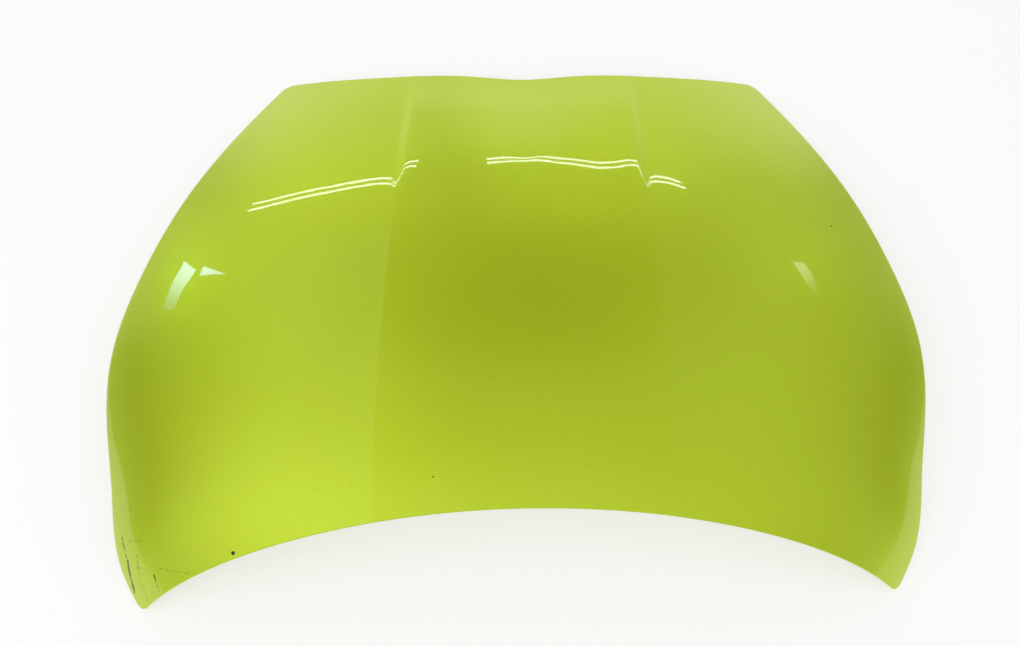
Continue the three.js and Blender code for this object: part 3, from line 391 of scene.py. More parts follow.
# A finer mesh cuts fewer corners off the curve than the CAD skin does, so it is held to the CAD skin's box.
low, high = (1000 * np.array(corner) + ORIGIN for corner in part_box("outer_skin"))
past = max((low - places).max(), (places - high).max())
print("reaches past the CAD skin by up to", round(float(past), 2), "mm before it is held to its box")
write_places(skin, np.clip(places, low, high))
bmesh.ops.remove_doubles(skin, verts=skin.verts, dist=2e-6)
skin.normal_update()
open_edges = sum(edge.is_boundary for edge in skin.edges)
print("skin:", len(skin.faces), "faces,", open_edges, "open edges, volume",
      round(skin.calc_volume(signed=True) * 1e6, 1), "cm3")
outer_skin = finished(skin, "skin_panel", "outer_skin")

# %% [markdown]
# ## Where things are on the frame
# The stamped frame under the skin is set out as a draughtsman would: a band along each edge, two arms from
# the catch to the hinges, and ribs between them. What is left between them is cut out as windows. Fittings
# sit on small flat pads. All of it is laid out in plan first, on the law's millimetres, and pressed into
# depth at the end.

# %% Layout in plan
FRAME_SHEET = 0.65
RIM_DEPTH, GLUE_DEPTH, FRAME_DEPTH, GROUND_CLEARANCE = 1.05, 4.5, 26, 5
RIM_END, WALL_END = 16, 36  # mm in from the edge: the flat rim's end and the wall's foot
GLUE_WIDTH, WINDOW_WALL, WINDOW_CORNER = 11, 17, 28
SIDE_BAND, FRONT_BAND, REAR_BAND, ARM_WIDTH, RIB_WIDTH, ARM_FOOT = 122, 128, 108, 100, 90, 70
PAD_WALL, PAD_RISE, EDGE_INSET = 6, 3, 66
BOLT_HOLE, BUFFER_HOLE, SOCKET_HOLE = 4.75, 5.3, 7.5
HINGE_PAD, HINGE_CORNER, HINGE_INSETS, HINGE_BOLT_Y = (56, 124), 14, (78, 110), 38
LATCH_PAD, LATCH_CORNER, LATCH_INSET, LATCH_BOLT_X = (172, 74), 16, 88, 36
SMALL_PAD_RADIUS = 13.5
FRONT_BUFFER_X, SIDE_BUFFER_STATION, SOCKET_STATION = 455, 700, 330
CROSS_RIB_STATION, SIDE_RIB_STATION = 672, 497
WINDOW_END = 80  # the least width of a rear side window at its rear end
HALVINGS = 34


def uv_at(x, y):
    """The law's u and t below a place in plan, by halving the span that holds it."""
    low, high = np.zeros_like(x), np.ones_like(x)
    for _ in range(HALVINGS):
        t = (low + high) / 2
        behind = skin_point(x / half_width(t), t)[..., 1] < y
        low, high = np.where(behind, t, low), np.where(behind, high, t)
    return x / half_width(low), low


def floor_depth(u, t):
    """How deep the frame's floor lies: less near the corners, to stay clear of the ground."""
    clear = skin_point(u, t)[..., 2] - GROUND_CLEARANCE
    return np.minimum(FRAME_DEPTH, clear / skin_directions(u, t)[2][..., 2])


def crossing(u_of, t_of):
    """u and t where two lines of the skin cross."""
    u, t = np.array(0.5), np.array(0.5)
    for _ in range(ROUNDS):
        u = u_of(t)
        t = t_of(u)
    return u, t


def plan(u, t):
    return Vector(skin_point(np.asarray(u), np.asarray(t))[:2])


hinge_x, hinge_y = REAR_WIDTH / 2 - HINGE_INSETS[0], REAR_Y - HINGE_INSETS[1]
latch_y = TIP_Y + FRONT_ARCH + LATCH_INSET
arm_start, arm_end = Vector((ARM_FOOT, latch_y)), Vector((hinge_x - HINGE_PAD[0] / 2, hinge_y))
arm_run = arm_end - arm_start
arm_reach = ARM_WIDTH / 2 * arm_run.length / arm_run.y


def arm_edge(y, side):
    return Vector((arm_start.x + arm_run.x * (y - arm_start.y) / arm_run.y + side * arm_reach, y))


def side_band_edge(y):
    t = np.array(0.5)
    for _ in range(ROUNDS):
        u = side_line(SIDE_BAND, t)
        t = uv_at(u * half_width(t), y)[1]
    return plan(u, t)


def front_band_edge(x):
    return Vector((x, plan(*crossing(lambda t: x / half_width(t), lambda u: front_line(FRONT_BAND, u))).y))


cross_rib_y, side_rib_y = TIP_Y + CROSS_RIB_STATION, TIP_Y + SIDE_RIB_STATION
front_window_y = latch_y + LATCH_PAD[1] / 2 + PAD_WALL + GLUE_WIDTH + 2 * WINDOW_WALL
front_window_x = LATCH_PAD[0] / 2 + PAD_WALL + GLUE_WIDTH + 2 * WINDOW_WALL
side_window_end = hinge_y - HINGE_PAD[1] / 2 - 2 * PAD_WALL - GLUE_WIDTH - WINDOW_WALL
while side_band_edge(side_window_end).x - arm_edge(side_window_end, 1).x < WINDOW_END:
    side_window_end -= 1


def mirrored(corners):
    return [Vector((-x, y)) for x, y in reversed(corners)]


front_corner = plan(*crossing(lambda t: side_line(SIDE_BAND, t), lambda u: front_line(FRONT_BAND, u)))
front_side = [front_band_edge(lerp(front_window_x, front_corner.x, share)) for share in (0, 1 / 3, 2 / 3)]
front_side += [
    front_corner, side_band_edge(side_rib_y - RIB_WIDTH / 2), arm_edge(side_rib_y - RIB_WIDTH / 2, 1),
]
rear_side = [
    arm_edge(side_rib_y + RIB_WIDTH / 2, 1), side_band_edge(side_rib_y + RIB_WIDTH / 2),
    side_band_edge(side_window_end), arm_edge(side_window_end, 1),
]
windows = [front_side, mirrored(front_side), rear_side, mirrored(rear_side)]
for front_y, rear_y in [
    (front_window_y, cross_rib_y - RIB_WIDTH / 2),
    (cross_rib_y + RIB_WIDTH / 2, REAR_Y - REAR_ARCH - REAR_BAND),
]:
    half = [arm_edge(front_y, -1), arm_edge(rear_y, -1)]
    windows.append(half + mirrored(half))
print("windows:", len(windows), "side window ends at y", round(side_window_end, 1))

# %% Pads: flat places pressed into the floor, each with its own axes
PADS = {}


def place_pad(name, u, t, size=None, radius=SMALL_PAD_RADIUS, holes=()):
    u, t = np.asarray(u, float), np.asarray(t, float)
    normal = Vector(skin_directions(u, t)[2])
    across = (Vector((1, 0, 0)) - normal.x * normal).normalized()
    origin = Vector(under_skin(u, t, floor_depth(u, t) - PAD_RISE))
    PADS[name] = {
        "origin": origin, "axes": (across, normal.cross(across), normal),
        "size": size, "radius": radius, "holes": holes,
    }


for side, word in ((1, "left"), (-1, "right")):
    u, t = uv_at(np.array(side * float(hinge_x)), np.array(float(hinge_y)))
    bolt_holes = [(0, -HINGE_BOLT_Y, BOLT_HOLE), (0, HINGE_BOLT_Y, BOLT_HOLE)]
    place_pad("hinge_" + word, u, t, HINGE_PAD, HINGE_CORNER, bolt_holes)
    u, t = crossing(lambda t: side * FRONT_BUFFER_X / half_width(t), lambda u: front_line(EDGE_INSET, u))
    place_pad("buffer_front_" + word, u, t, holes=[(0, 0, BUFFER_HOLE)])
    t = np.array(SIDE_BUFFER_STATION / OVERALL_LENGTH)
    place_pad("buffer_side_" + word, side * side_line(EDGE_INSET, t), t, holes=[(0, 0, BUFFER_HOLE)])
u, t = uv_at(np.array(0.0), np.array(float(latch_y)))
bolt_holes = [(-LATCH_BOLT_X, 0, BOLT_HOLE), (LATCH_BOLT_X, 0, BOLT_HOLE)]
place_pad("latch", u, t, LATCH_PAD, LATCH_CORNER, bolt_holes)
t = np.array(SOCKET_STATION / OVERALL_LENGTH)
place_pad("stay_socket", -side_line(EDGE_INSET, t), t, holes=[(0, 0, SOCKET_HOLE)])
for name, pad in PADS.items():
    print(name, "at", [round(v, 1) for v in (np.array(pad["origin"]) - ORIGIN)])


def on_pad(pad, x, y, z):
    """A point on a pad's axes, in the law's millimetres."""
    across, along, normal = pad["axes"]
    return pad["origin"] + x * across + y * along + z * normal


def plan_of(pad, spots):
    """Places in plan from which lines square to the skin meet points on a pad."""
    places = spots[:, :2].copy()
    plane = np.array(pad["axes"][2])
    for _ in range(5):
        u, t = uv_at(places[:, 0], places[:, 1])
        top, normal = skin_point(u, t), skin_directions(u, t)[2]
        depth = ((top - spots) @ plane) / (normal @ plane)
        places += (spots - (top - normal * depth[:, None]))[:, :2]
    return places


# %% [markdown]
# ## The stamped frame
# A press draws the frame from one sheet of steel, 0.65 mm thick: a flat rim that goes into the hem, a wall
# down to the floor, and a raised flange with a wall of its own round each window, for the mastic. Booleans
# on a thick block would leave sharp steps. So every outline is drawn flat, in plan, and gets its rings, the
# floor is filled in between them and cut into small cells, and at the end each vertex is pressed down to
# its own depth.

# %% Outlines in plan
WALL_SHARES = [0.12, 0.25, 0.38, 0.5, 0.62, 0.75, 0.88, 1]
RIM_EDGE, RIM_RINGS = 1.35, [5, 10, 14, RIM_END]  # mm in from the edge
sheet = bmesh.new()
# Each vertex remembers the depth at its wall's top, how far down the wall it is, and a pad's own place.
top_of, share_of, fixed_of = (sheet.verts.layers.float.new(name) for name in ("top", "share", "fixed"))
spot_of = sheet.verts.layers.float_vector.new("spot")
floor_edges = []  # the outlines that bound the floor and the pads


def ease(share):
    return share * share * (3 - 2 * share)


def outline(places, top=0, share=1, spots=None):
    """A closed ring of edges through places in plan."""
    verts = [sheet.verts.new((x, y, 0)) for x, y in places]
    for i, vert in enumerate(verts):
        vert[top_of], vert[share_of] = top, share
        if spots is not None:
            vert[fixed_of], vert[spot_of] = 1, spots[i]
    return [sheet.edges.new((verts[i - 1], vert)) for i, vert in enumerate(verts)]


def rim_places(inset):
    """Places round the panel at an inset from its edge; the corners are round up to the border's width."""
    far = max(0, 1 - inset / BORDER)
    ends = max(inset, BORDER)
    across, down = np.linspace(-1, 1, 90)[:-1], np.linspace(0, 1, 60)[:-1]
    arc = np.linspace(math.pi / 2, 0, 7)[:-1]
    bend = BORDER * (1 - far * np.cos(arc)), BORDER * (1 - far * np.sin(arc))
    if inset > BORDER:
        bend = np.full_like(arc, inset), np.full_like(arc, inset)
    places = []
    # Half way round from the front, and then the other half with front and rear changed over.
    for way, first, last in ((1, front_line, rear_line), (-1, rear_line, front_line)):
        runs = [
            (lambda t: way * across * side_line(ends, t), lambda u: first(inset, u)),
            (lambda t: way * side_line(bend[0], t), lambda u: first(bend[1], u)),
            (lambda t: way * side_line(inset, t), lambda u: lerp(first(ends, u), last(ends, u), down)),
            (lambda t: way * side_line(bend[0][::-1], t), lambda u: last(bend[1][::-1], u)),
        ]
        for u_of, t_of in runs:
            places.extend(skin_point(*crossing(u_of, t_of))[:, :2])
    return places


rim = outline(rim_places(RIM_EDGE), RIM_DEPTH, 0)
for inset in RIM_RINGS + [lerp(RIM_END, WALL_END, share) for share in WALL_SHARES]:
    down = ease(max(0, (inset - RIM_END) / (WALL_END - RIM_END)))
    inner = outline(rim_places(inset), RIM_DEPTH, down)
    bmesh.ops.bridge_loops(sheet, edges=rim + inner)
    rim = inner
floor_edges += rim
print("rim:", len(sheet.faces), "faces")

# %% Windows: rounded corners by bevelling vertices, and flanges by insets that go outwards


LONGEST_EDGE, FLANGE_RINGS = 14, [4, 8, GLUE_WIDTH]  # mm


def opening(corners, radius):
    """A flat face with rounded corners and no long straight edges."""
    known = set(sheet.faces)
    verts = [sheet.verts.new((*corner, 0)) for corner in corners]
    sheet.faces.new(verts)
    for i, vert in enumerate(verts):
        before, here, after = (Vector(corners[(i + k) % len(corners)]) for k in (-1, 0, 1))
        turn = -(here - before).angle_signed(after - here, 0)
        if turn > 0.02:
            bmesh.ops.bevel(
                sheet, geom=[vert], offset=radius * math.tan(turn / 2), offset_type="OFFSET",
                segments=max(1, round(turn / math.pi * 18)), profile=0.5, affect="VERTICES", material=-1,
            )
    face = next(face for face in sheet.faces if face not in known)
    for edge in list(face.edges):
        cuts = int(edge.calc_length() // LONGEST_EDGE)
        if cuts:
            bmesh.ops.subdivide_edges(sheet, edges=[edge], cuts=cuts)
    return face


for corners in windows:
    face = opening(corners, WINDOW_CORNER)
    for vert in face.verts:
        vert[top_of], vert[share_of] = GLUE_DEPTH, 0
    out = 0
    for goal in FLANGE_RINGS + [GLUE_WIDTH + WINDOW_WALL * share for share in WALL_SHARES]:
        bmesh.ops.inset_region(
            sheet, faces=[face], thickness=out - goal, use_boundary=True, use_even_offset=True,
        )
        out = goal
        for vert in face.verts:
            vert[top_of] = GLUE_DEPTH
            vert[share_of] = ease(max(0, (out - GLUE_WIDTH) / WINDOW_WALL))
    floor_edges += face.edges
    bmesh.ops.delete(sheet, geom=[face], context="FACES_ONLY")
print("with the windows:", len(sheet.faces), "faces")

# %% Pads and holes
ROUND = [Vector((math.cos(a), math.sin(a))) for a in np.linspace(0, 2 * math.pi, 25)[:-1]]


def pad_outline(pad, out):
    """Points round a pad on its own axes, some way out from its flat top."""
    if not pad["size"]:
        return [(pad["radius"] + out) * away for away in ROUND]
    reach = [side / 2 - pad["radius"] for side in pad["size"]]
    corners = [(1, 1), (-1, 1), (-1, -1), (1, -1)]
    return [
        Vector((sx * reach[0], sy * reach[1])) + (pad["radius"] + out) * ROUND[(6 * i + k) % 24]
        for i, (sx, sy) in enumerate(corners) for k in range(7)
    ]


def pad_ring(pad, points, z):
    spots = np.array([on_pad(pad, *point, z) for point in points])
    return outline(plan_of(pad, spots), 0, 1, spots)


for pad in PADS.values():
    base = pad_ring(pad, pad_outline(pad, PAD_WALL), -PAD_RISE)
    floor_edges += base
    for share in (0.25, 0.5, 0.75, 1):
        ring = pad_ring(pad, pad_outline(pad, PAD_WALL * (1 - share)), -PAD_RISE * (1 - ease(share)))
        bmesh.ops.bridge_loops(sheet, edges=base + ring)
        base = ring
    floor_edges += base
    for x, y, radius in pad["holes"]:
        floor_edges += pad_ring(pad, [Vector((x, y)) + radius * away for away in ROUND], 0)

LARGE_HOLE, SMALL_HOLE = 11, 5  # radii of the plain holes that let paint and water drain
FRONT_HOLE_X, REAR_HOLE_X, SIDE_HOLE_STATIONS, ARM_HOLE_SHARES = 270, 140, (520, 830), (0.3, 0.6)
hole_spots = [(arm_start + arm_run * share, LARGE_HOLE) for share in ARM_HOLE_SHARES]
hole_spots += [
    (plan(*crossing(lambda t: x / half_width(t), lambda u: line(EDGE_INSET, u))), LARGE_HOLE)
    for x, line in ((FRONT_HOLE_X, front_line), (REAR_HOLE_X, rear_line))
]
hole_spots.append(((arm_edge(side_rib_y, 1) + side_band_edge(side_rib_y)) / 2, LARGE_HOLE))
for station in SIDE_HOLE_STATIONS:
    t = np.array(station / OVERALL_LENGTH)
    hole_spots.append((plan(side_line(EDGE_INSET, t), t), SMALL_HOLE))
for place, radius in hole_spots:
    for side in (1, -1):
        floor_edges += outline([Vector((side * place.x, place.y)) + radius * away for away in ROUND])
print("with pads and holes:", len(sheet.faces), "faces,", len(floor_edges), "edges to fill between")

# %% The floor between the outlines
CELL = 22  # mm
filled = bmesh.ops.triangle_fill(sheet, use_beauty=True, edges=floor_edges, normal=(0, 0, 1))["geom"]
floor = set(only(FACE, filled))
print("floor before it is cut:", len(floor), "faces, area", round(sum(f.calc_area() for f in floor)), "mm2")
geom = list(floor) + list({edge for face in floor for edge in face.edges})
geom += list({vert for face in floor for vert in face.verts})
for axis, reach in ((0, SHOULDER_WIDTH / 2), (1, OVERALL_LENGTH / 2)):
    normal = [1 - axis, axis, 0]
    for cut in np.arange(-reach + CELL / 2, reach, CELL):
        spot = [cut * share for share in normal]
        geom = bmesh.ops.bisect_plane(sheet, geom=geom, dist=1e-3, plane_co=spot, plane_no=normal)["geom"]
print("frame in plan:", len(sheet.faces), "faces")

# %% Pressed to depth, and given its thickness
bmesh.ops.remove_doubles(sheet, verts=sheet.verts, dist=1e-3)
sheet.normal_update()
bmesh.ops.reverse_faces(sheet, faces=[face for face in sheet.faces if face.normal.z < 0])
flat = np.array([vert.co for vert in sheet.verts])
u, t = uv_at(flat[:, 0], flat[:, 1])
tops, shares, spots = (layer_values(sheet, layer) for layer in (top_of, share_of, spot_of))
fixed = layer_values(sheet, fixed_of) > 0.999
pressed = under_skin(u, t, lerp(tops, floor_depth(u, t), shares))
write_places(sheet, np.where(fixed[:, None], spots, pressed))
sheet.normal_update()
loose = sum(edge.is_boundary for edge in sheet.edges)
upper_area = sum(face.calc_area() for face in sheet.faces)
bmesh.ops.solidify(sheet, geom=list(sheet.faces), thickness=FRAME_SHEET / 1000)
for edge in sheet.edges:
    edge.smooth = edge.calc_face_angle(0) < math.radians(40)
low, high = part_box("inner_frame")
zs = [vert.co.z for vert in sheet.verts]
print("open edges before its thickness:", loose, "and after:", sum(e.is_boundary for e in sheet.edges))
print("frame volume", round(sheet.calc_volume() * 1e6), "cm3")
print("its flat area times its thickness", round(upper_area * FRAME_SHEET * 1e3), "cm3")
print("frame heights", round(min(zs) * 1e3, 1), round(max(zs) * 1e3, 1), "CAD", low[2] * 1e3, high[2] * 1e3)
print("faces", len(sheet.faces), "triangles", sum(len(face.verts) - 2 for face in sheet.faces))
stamped_frame = finished(sheet, "stamped_frame", "inner_frame")

# %% [markdown]
# ## Buffers, the stay's socket and the striker
# Rubber buffers push through the frame and stop the bonnet from rattling, a nylon socket takes the stay's
# end, and a bent wire is what the catch grabs. The buffers and the socket are moulded round an axis, so a
# profile is spun round it. The wire could be a curve with a bevel. Here a ring is extruded along the path and
# spun round its two bends, as the real wire is bent, and fillets of weld are spun in the same mesh.

# %% Turned pieces on a pad's axes
BUFFER_PROFILE = [
    (0, -16.95), (2.2, -16.95), (3, -16.35), (5.6, -16.35), (7.4, -16.95), (8.9, -16.2), (10.2, -14.9),
    (11, -13.2), (11, -11.6), (10.1, -10.9), (10.1, -9.9), (11, -9.2), (11, -7.2), (10.1, -6.5),
    (10.1, -5.5), (11, -4.8), (11, -1.5), (10.5, -0.95), (5, -0.95), (5, 0.3), (6, 0.3), (6.35, 0.8),
    (2.5, 6), (0, 6),
]
SOCKET_PROFILE = [
    (5.5, -4.95), (6.1, -4.95), (7, -4.3), (10.6, -4.3), (11.6, -4.6), (12, -4.1), (12, -1.4),
    (11.5, -0.95), (7.2, -0.95), (7.2, 8.4), (6.6, 9), (0, 9), (0, 7.5), (5.1, 7.5), (5.5, 7.1), (5.5, -4.95),
]


def spin_profile(piece, profile, steps, y=0, closed=False):
    """Spins a profile of (radius, height) round an upright axis at y."""
    verts = [piece.verts.new((radius, y, z)) for radius, z in profile]
    ends = verts[1:] + verts[:1] if closed else verts[1:]
    edges = [piece.edges.new(pair) for pair in zip(verts, ends)]
    bmesh.ops.spin(
        piece, geom=verts + edges, cent=(0, y, 0), axis=(0, 0, 1), angle=2 * math.pi,
        steps=steps, use_merge=True, use_duplicate=False,
    )


def set_on_pad(piece, pad, name, node, sharp, x=0, y=0):
    """Merges a piece's doubles, keeps edges over an angle in degrees sharp, and sets it on a pad's axes."""
    bmesh.ops.remove_doubles(piece, verts=piece.verts, dist=1e-3)
    bmesh.ops.recalc_face_normals(piece, faces=piece.faces)
    for edge in piece.edges:
        edge.smooth = edge.calc_face_angle(0) < math.radians(sharp)
    for vert in piece.verts:
        vert.co = (on_pad(pad, vert.co.x + x, vert.co.y + y, vert.co.z) - Vector(ORIGIN)) / 1000
    print(name, "open edges", sum(edge.is_boundary for edge in piece.edges))
    made = finished(piece, name, node)
    return made


def turned(name, pad, profile, node):
    """A piece that is all one spun profile."""
    piece = bmesh.new()
    spin_profile(piece, profile, steps=40)
    return set_on_pad(piece, pad, name, node, sharp=32)


buffers = [
    turned(f"rubber_{name}", PADS[name], BUFFER_PROFILE, name)
    for name in PADS if name.startswith("buffer")
]
socket = turned("moulded_stay_socket", PADS["stay_socket"], SOCKET_PROFILE, "stay_socket")

# %% Striker wire: a ring pushed along straight runs and spun round the two bends
WIRE_RADIUS, LOOP_HALF, WIRE_TOP, WIRE_LOW, BEND = 4, 17, -4.25, -49.95, 9
WELD_PROFILE = [(4, -7.6), (4.9, -7.2), (6, -5.9), (7.2, -4.9), (7.6, -4.1), (4, -4.1)]

wire = bmesh.new()
bmesh.ops.create_circle(wire, cap_ends=True, segments=20, radius=WIRE_RADIUS)
bmesh.ops.translate(wire, verts=wire.verts, vec=(0, -LOOP_HALF, WIRE_TOP))
ring = list(wire.edges)
runs = [
    ((0, 0, WIRE_LOW + BEND - WIRE_TOP), (0, -LOOP_HALF + BEND, WIRE_LOW + BEND)),
    ((0, 2 * (LOOP_HALF - BEND), 0), (0, LOOP_HALF - BEND, WIRE_LOW + BEND)),
    ((0, 0, WIRE_TOP - WIRE_LOW - BEND), None),
]
for move, bend_centre in runs:
    pushed = bmesh.ops.extrude_edge_only(wire, edges=ring)["geom"]
    bmesh.ops.translate(wire, verts=only(VERT, pushed), vec=move)
    ring = only(EDGE, pushed)
    if bend_centre:
        turned_ring = bmesh.ops.spin(
            wire, geom=ring, cent=bend_centre, axis=(1, 0, 0), angle=math.pi / 2, steps=10,
            use_merge=False, use_duplicate=False,
        )["geom_last"]
        ring = only(EDGE, turned_ring)
bmesh.ops.edgeloop_fill(wire, edges=ring)
for y in (-LOOP_HALF, LOOP_HALF):
    spin_profile(wire, WELD_PROFILE, steps=28, y=y, closed=True)
print("striker wire reaches down to", round(min(v.co.z for v in wire.verts), 2), "on the pad's axis")
striker = set_on_pad(wire, PADS["latch"], "bent_striker_wire", "striker_wire", sharp=40)

# %% Bolts: a hexagon head with chamfered corners, and a spun flange and thread
ACROSS_FLATS, HEAD_TOP, HEAD_LOW, BOLT_TIP, THREAD_PITCH = 13, -4.25, -9.75, 10.6, 1.25
FLANGE = [(0, -6.4), (6.4, -6.4), (7.6, -5.9), (8.4, -5.2), (8.5, -4.9), (8.5, -4.35), (8.3, HEAD_TOP)]
SHANK = [(4, HEAD_TOP), (4, -2.6)]
THREAD_TURNS = int((BOLT_TIP + 1) / THREAD_PITCH * 2)
THREAD = [(3.95 if i % 2 else 3.45, -2 + i * THREAD_PITCH / 2) for i in range(THREAD_TURNS)]


def flange_bolt(name, x, node):
    """A bolt of the striker, some way across the latch pad."""
    head = bmesh.new()
    bmesh.ops.create_circle(head, cap_ends=True, segments=6, radius=ACROSS_FLATS / math.sqrt(3))
    raised = bmesh.ops.extrude_face_region(head, geom=list(head.faces))["geom"]
    top = [part for part in raised if isinstance(part, bmesh.types.BMVert)]
    bmesh.ops.translate(head, verts=top, vec=(0, 0, HEAD_TOP - 1 - HEAD_LOW))
    bmesh.ops.translate(head, verts=head.verts, vec=(0, 0, HEAD_LOW))
    low_edges = [edge for edge in head.edges if all(v.co.z < HEAD_LOW + 0.01 for v in edge.verts)]
    bmesh.ops.bevel(
        head, geom=low_edges, offset=0.8, offset_type="OFFSET", segments=3, profile=0.5,
        affect="EDGES", material=-1,
    )
    low_face = min(head.faces, key=lambda face: face.calc_center_median().z)
    bmesh.ops.inset_region(head, faces=[low_face], thickness=1.6, depth=-0.5)
    spin_profile(head, FLANGE + SHANK + THREAD + [(3.1, BOLT_TIP), (0, BOLT_TIP)], steps=28)
    return set_on_pad(head, PADS["latch"], name, node, sharp=30, x=x)


bolts = [
    flange_bolt(f"flange_bolt_{side}", x, f"striker_bolt_{side}")
    for side, x in (("right", -LATCH_BOLT_X), ("left", LATCH_BOLT_X))
]

# %% [markdown]
# ## A small helper for materials
# Materials are built from nodes. Each node is added with one function, which takes the node's settings and
# its inputs, and an input is a plain value or a link from another node. Colours are written as sRGB hex
# values, as a paint chart gives them, and turned to linear light.

# %% Node helper and colours
def linear(hex_colour):
    parts = [int(hex_colour[i:i + 2], 16) / 255 for i in (1, 3, 5)]
    return [p / 12.92 if p <= 0.04045 else ((p + 0.055) / 1.055) ** 2.4 for p in parts] + [1]


def add(tree, kind, inputs=None, **settings):
    made = tree.nodes.new("ShaderNode" + kind)
    for name, value in settings.items():
        setattr(made, name, value)
    for name, value in (inputs or {}).items():
        if isinstance(value, bpy.types.NodeSocket):
            tree.links.new(value, made.inputs[name])
        else:
            made.inputs[name].default_value = value
    return made


def new_material(name):
    """An empty material, its node tree, and Object coordinates in metres."""
    made = bpy.data.materials.new(name)
    made.use_nodes = True
    made.node_tree.nodes.clear()
    return made, made.node_tree, add(made.node_tree, "TexCoord").outputs["Object"]


def surface(tree, inputs):
    shader = add(tree, "BsdfPrincipled", inputs)
    add(tree, "OutputMaterial", {"Surface": shader.outputs["BSDF"]})
    return shader


def two_tones(tree, share, span, tones, most=1):
    """A colour that goes from one hex value to another while a share goes over a span."""
    tint = add(tree, "MapRange", {"Value": share, "From Min": span[0], "From Max": span[1], "To Max": most})
    return add(tree, "Mix", {
        "Factor": tint.outputs["Result"], "A": linear(tones[0]), "B": linear(tones[1]),
    }, data_type="RGBA").outputs["Result"]


def either(tree, so_far, mark):
    """The stronger of two marks, or the new one where there is none yet."""
    if so_far is None:
        return mark
    return add(tree, "Math", {0: so_far, 1: mark}, operation="MAXIMUM").outputs["Value"]


def wear(piece, material):
    """Puts one material on a piece."""
    piece.data.materials.clear()
    piece.data.materials.append(material)


# %% [markdown]
# ## Paint
# The skin has a lime pearl base coat under a clear coat. Mica flakes in the base coat throw light back in a
# wide soft lobe, and the clear coat gives a sharp thin reflection on top, with the faint ripple that painters
# call orange peel. A single glossy shader can't be soft and sharp at once, so the Principled shader's coat is
# used over a partly metallic base. Years of use left a few chips, and scuffs on one tip.

# %% Lime pearl paint
PEEL = 7  # mm from one ripple of the orange peel to the next
MOTTLE = 2.2  # mm; real flakes are twenty times finer, and this is the clouding that they give
PEEL_DEPTH = 0.000012  # metres
CHIPS = [(-439, -462, 117, 3.2), (575, 104, 109, 2.2), (-136, -366, 175, 1.5)]  # x, y, z, radius
CHIP_RAG, CHIP_OUTER, CHIP_INNER = 0.0016, 0.0009, 0.0003  # metres: how ragged, and where it fades
SCUFF_RAG, SCUFF_OUTER, SCUFF_INNER = 0.006, 0.0034, 0.0022

paint, tree, place = new_material("lime_pearl_clear_coat")
mottle = add(tree, "TexNoise", {"Vector": place, "Scale": 1000 / MOTTLE, "Detail": 2, "Roughness": 0.6})
cloud = add(tree, "TexNoise", {"Vector": place, "Scale": 4, "Detail": 1, "Roughness": 0.4})
mottle_value = add(tree, "MapRange", {
    "Value": mottle.outputs["Fac"], "From Min": 0.3, "From Max": 0.7, "To Min": 0.955, "To Max": 1.045,
})
cloud_value = add(tree, "MapRange", {
    "Value": cloud.outputs["Fac"], "From Min": 0.3, "From Max": 0.7, "To Min": 0.98, "To Max": 1.02,
})
tone = add(tree, "Math", {
    0: mottle_value.outputs["Result"], 1: cloud_value.outputs["Result"],
}, operation="MULTIPLY")
base_coat = add(tree, "VectorMath", {
    0: linear("#CFE81F")[:3], "Scale": tone.outputs["Value"],
}, operation="SCALE")

chipped = None
for x, y, z, radius in CHIPS:
    away = add(tree, "VectorMath", {0: place, 1: (x / 1000, y / 1000, z / 1000)}, operation="DISTANCE")
    ragged = add(tree, "Math", {
        0: mottle.outputs["Fac"], 1: CHIP_RAG, 2: away.outputs["Value"],
    }, operation="MULTIPLY_ADD")
    spot = add(tree, "MapRange", {
        "Value": ragged.outputs["Value"],
        "From Min": radius / 1000 + CHIP_OUTER, "From Max": radius / 1000 + CHIP_INNER,
    })
    chipped = either(tree, chipped, spot.outputs["Result"])

# Scuffs on the right-hand front tip: each runs along a line and is broken up by the noise.
SCUFFS = [
    ((-643, -423, 48), (-630, -460, 39), 1.5, 1.0), ((-631, -458, 40), (-622, -503, 16), 2.6, 0.85),
    ((-577, -484, 59), (-569, -506, 49), 1.1, 0.9), ((-581, -500, 52), (-576, -487, 59), 0.7, 0.7),
    ((-629, -430, 55), (-601, -433, 71), 0.7, 0.5), ((-610, -452, 58), (-606, -504, 29), 0.8, 0.45),
    ((-566, -476, 70), (-508, -487, 88), 0.7, 0.4), ((-601, -491, 40), (-595, -518, 25), 0.8, 0.5),
    ((-602, -434, 71), (-592, -452, 68), 0.6, 0.35), ((-612, -470, 46), (-584, -474, 60), 0.6, 0.35),
]  # from, to, half width in mm, and how dark
rag = add(tree, "TexNoise", {"Vector": place, "Scale": 1000 / 6, "Detail": 3, "Roughness": 0.7})
scuffed = None
for start, end, reach, dark in SCUFFS:
    start, end = Vector(start) / 1000, Vector(end) / 1000
    run = end - start
    off = add(tree, "VectorMath", {0: place, 1: start}, operation="SUBTRACT").outputs["Vector"]
    way = add(tree, "VectorMath", {0: off, 1: run / run.length_squared}, operation="DOT_PRODUCT")
    way = add(tree, "Clamp", {"Value": way.outputs["Value"]}).outputs["Result"]
    foot = add(tree, "VectorMath", {0: run, "Scale": way}, operation="SCALE").outputs["Vector"]
    away = add(tree, "VectorMath", {0: off, 1: foot}, operation="DISTANCE").outputs["Value"]
    ragged = add(tree, "Math", {0: rag.outputs["Fac"], 1: SCUFF_RAG, 2: away}, operation="MULTIPLY_ADD")
    mark = add(tree, "MapRange", {
        "Value": ragged.outputs["Value"], "To Max": dark,
        "From Min": reach / 1000 + SCUFF_OUTER, "From Max": reach / 1000 + SCUFF_INNER,
    })
    scuffed = either(tree, scuffed, mark.outputs["Result"])
scuff_colour = add(tree, "Mix", {
    "Factor": scuffed, "A": base_coat.outputs["Vector"], "B": linear("#3B4217"),
}, data_type="RGBA")
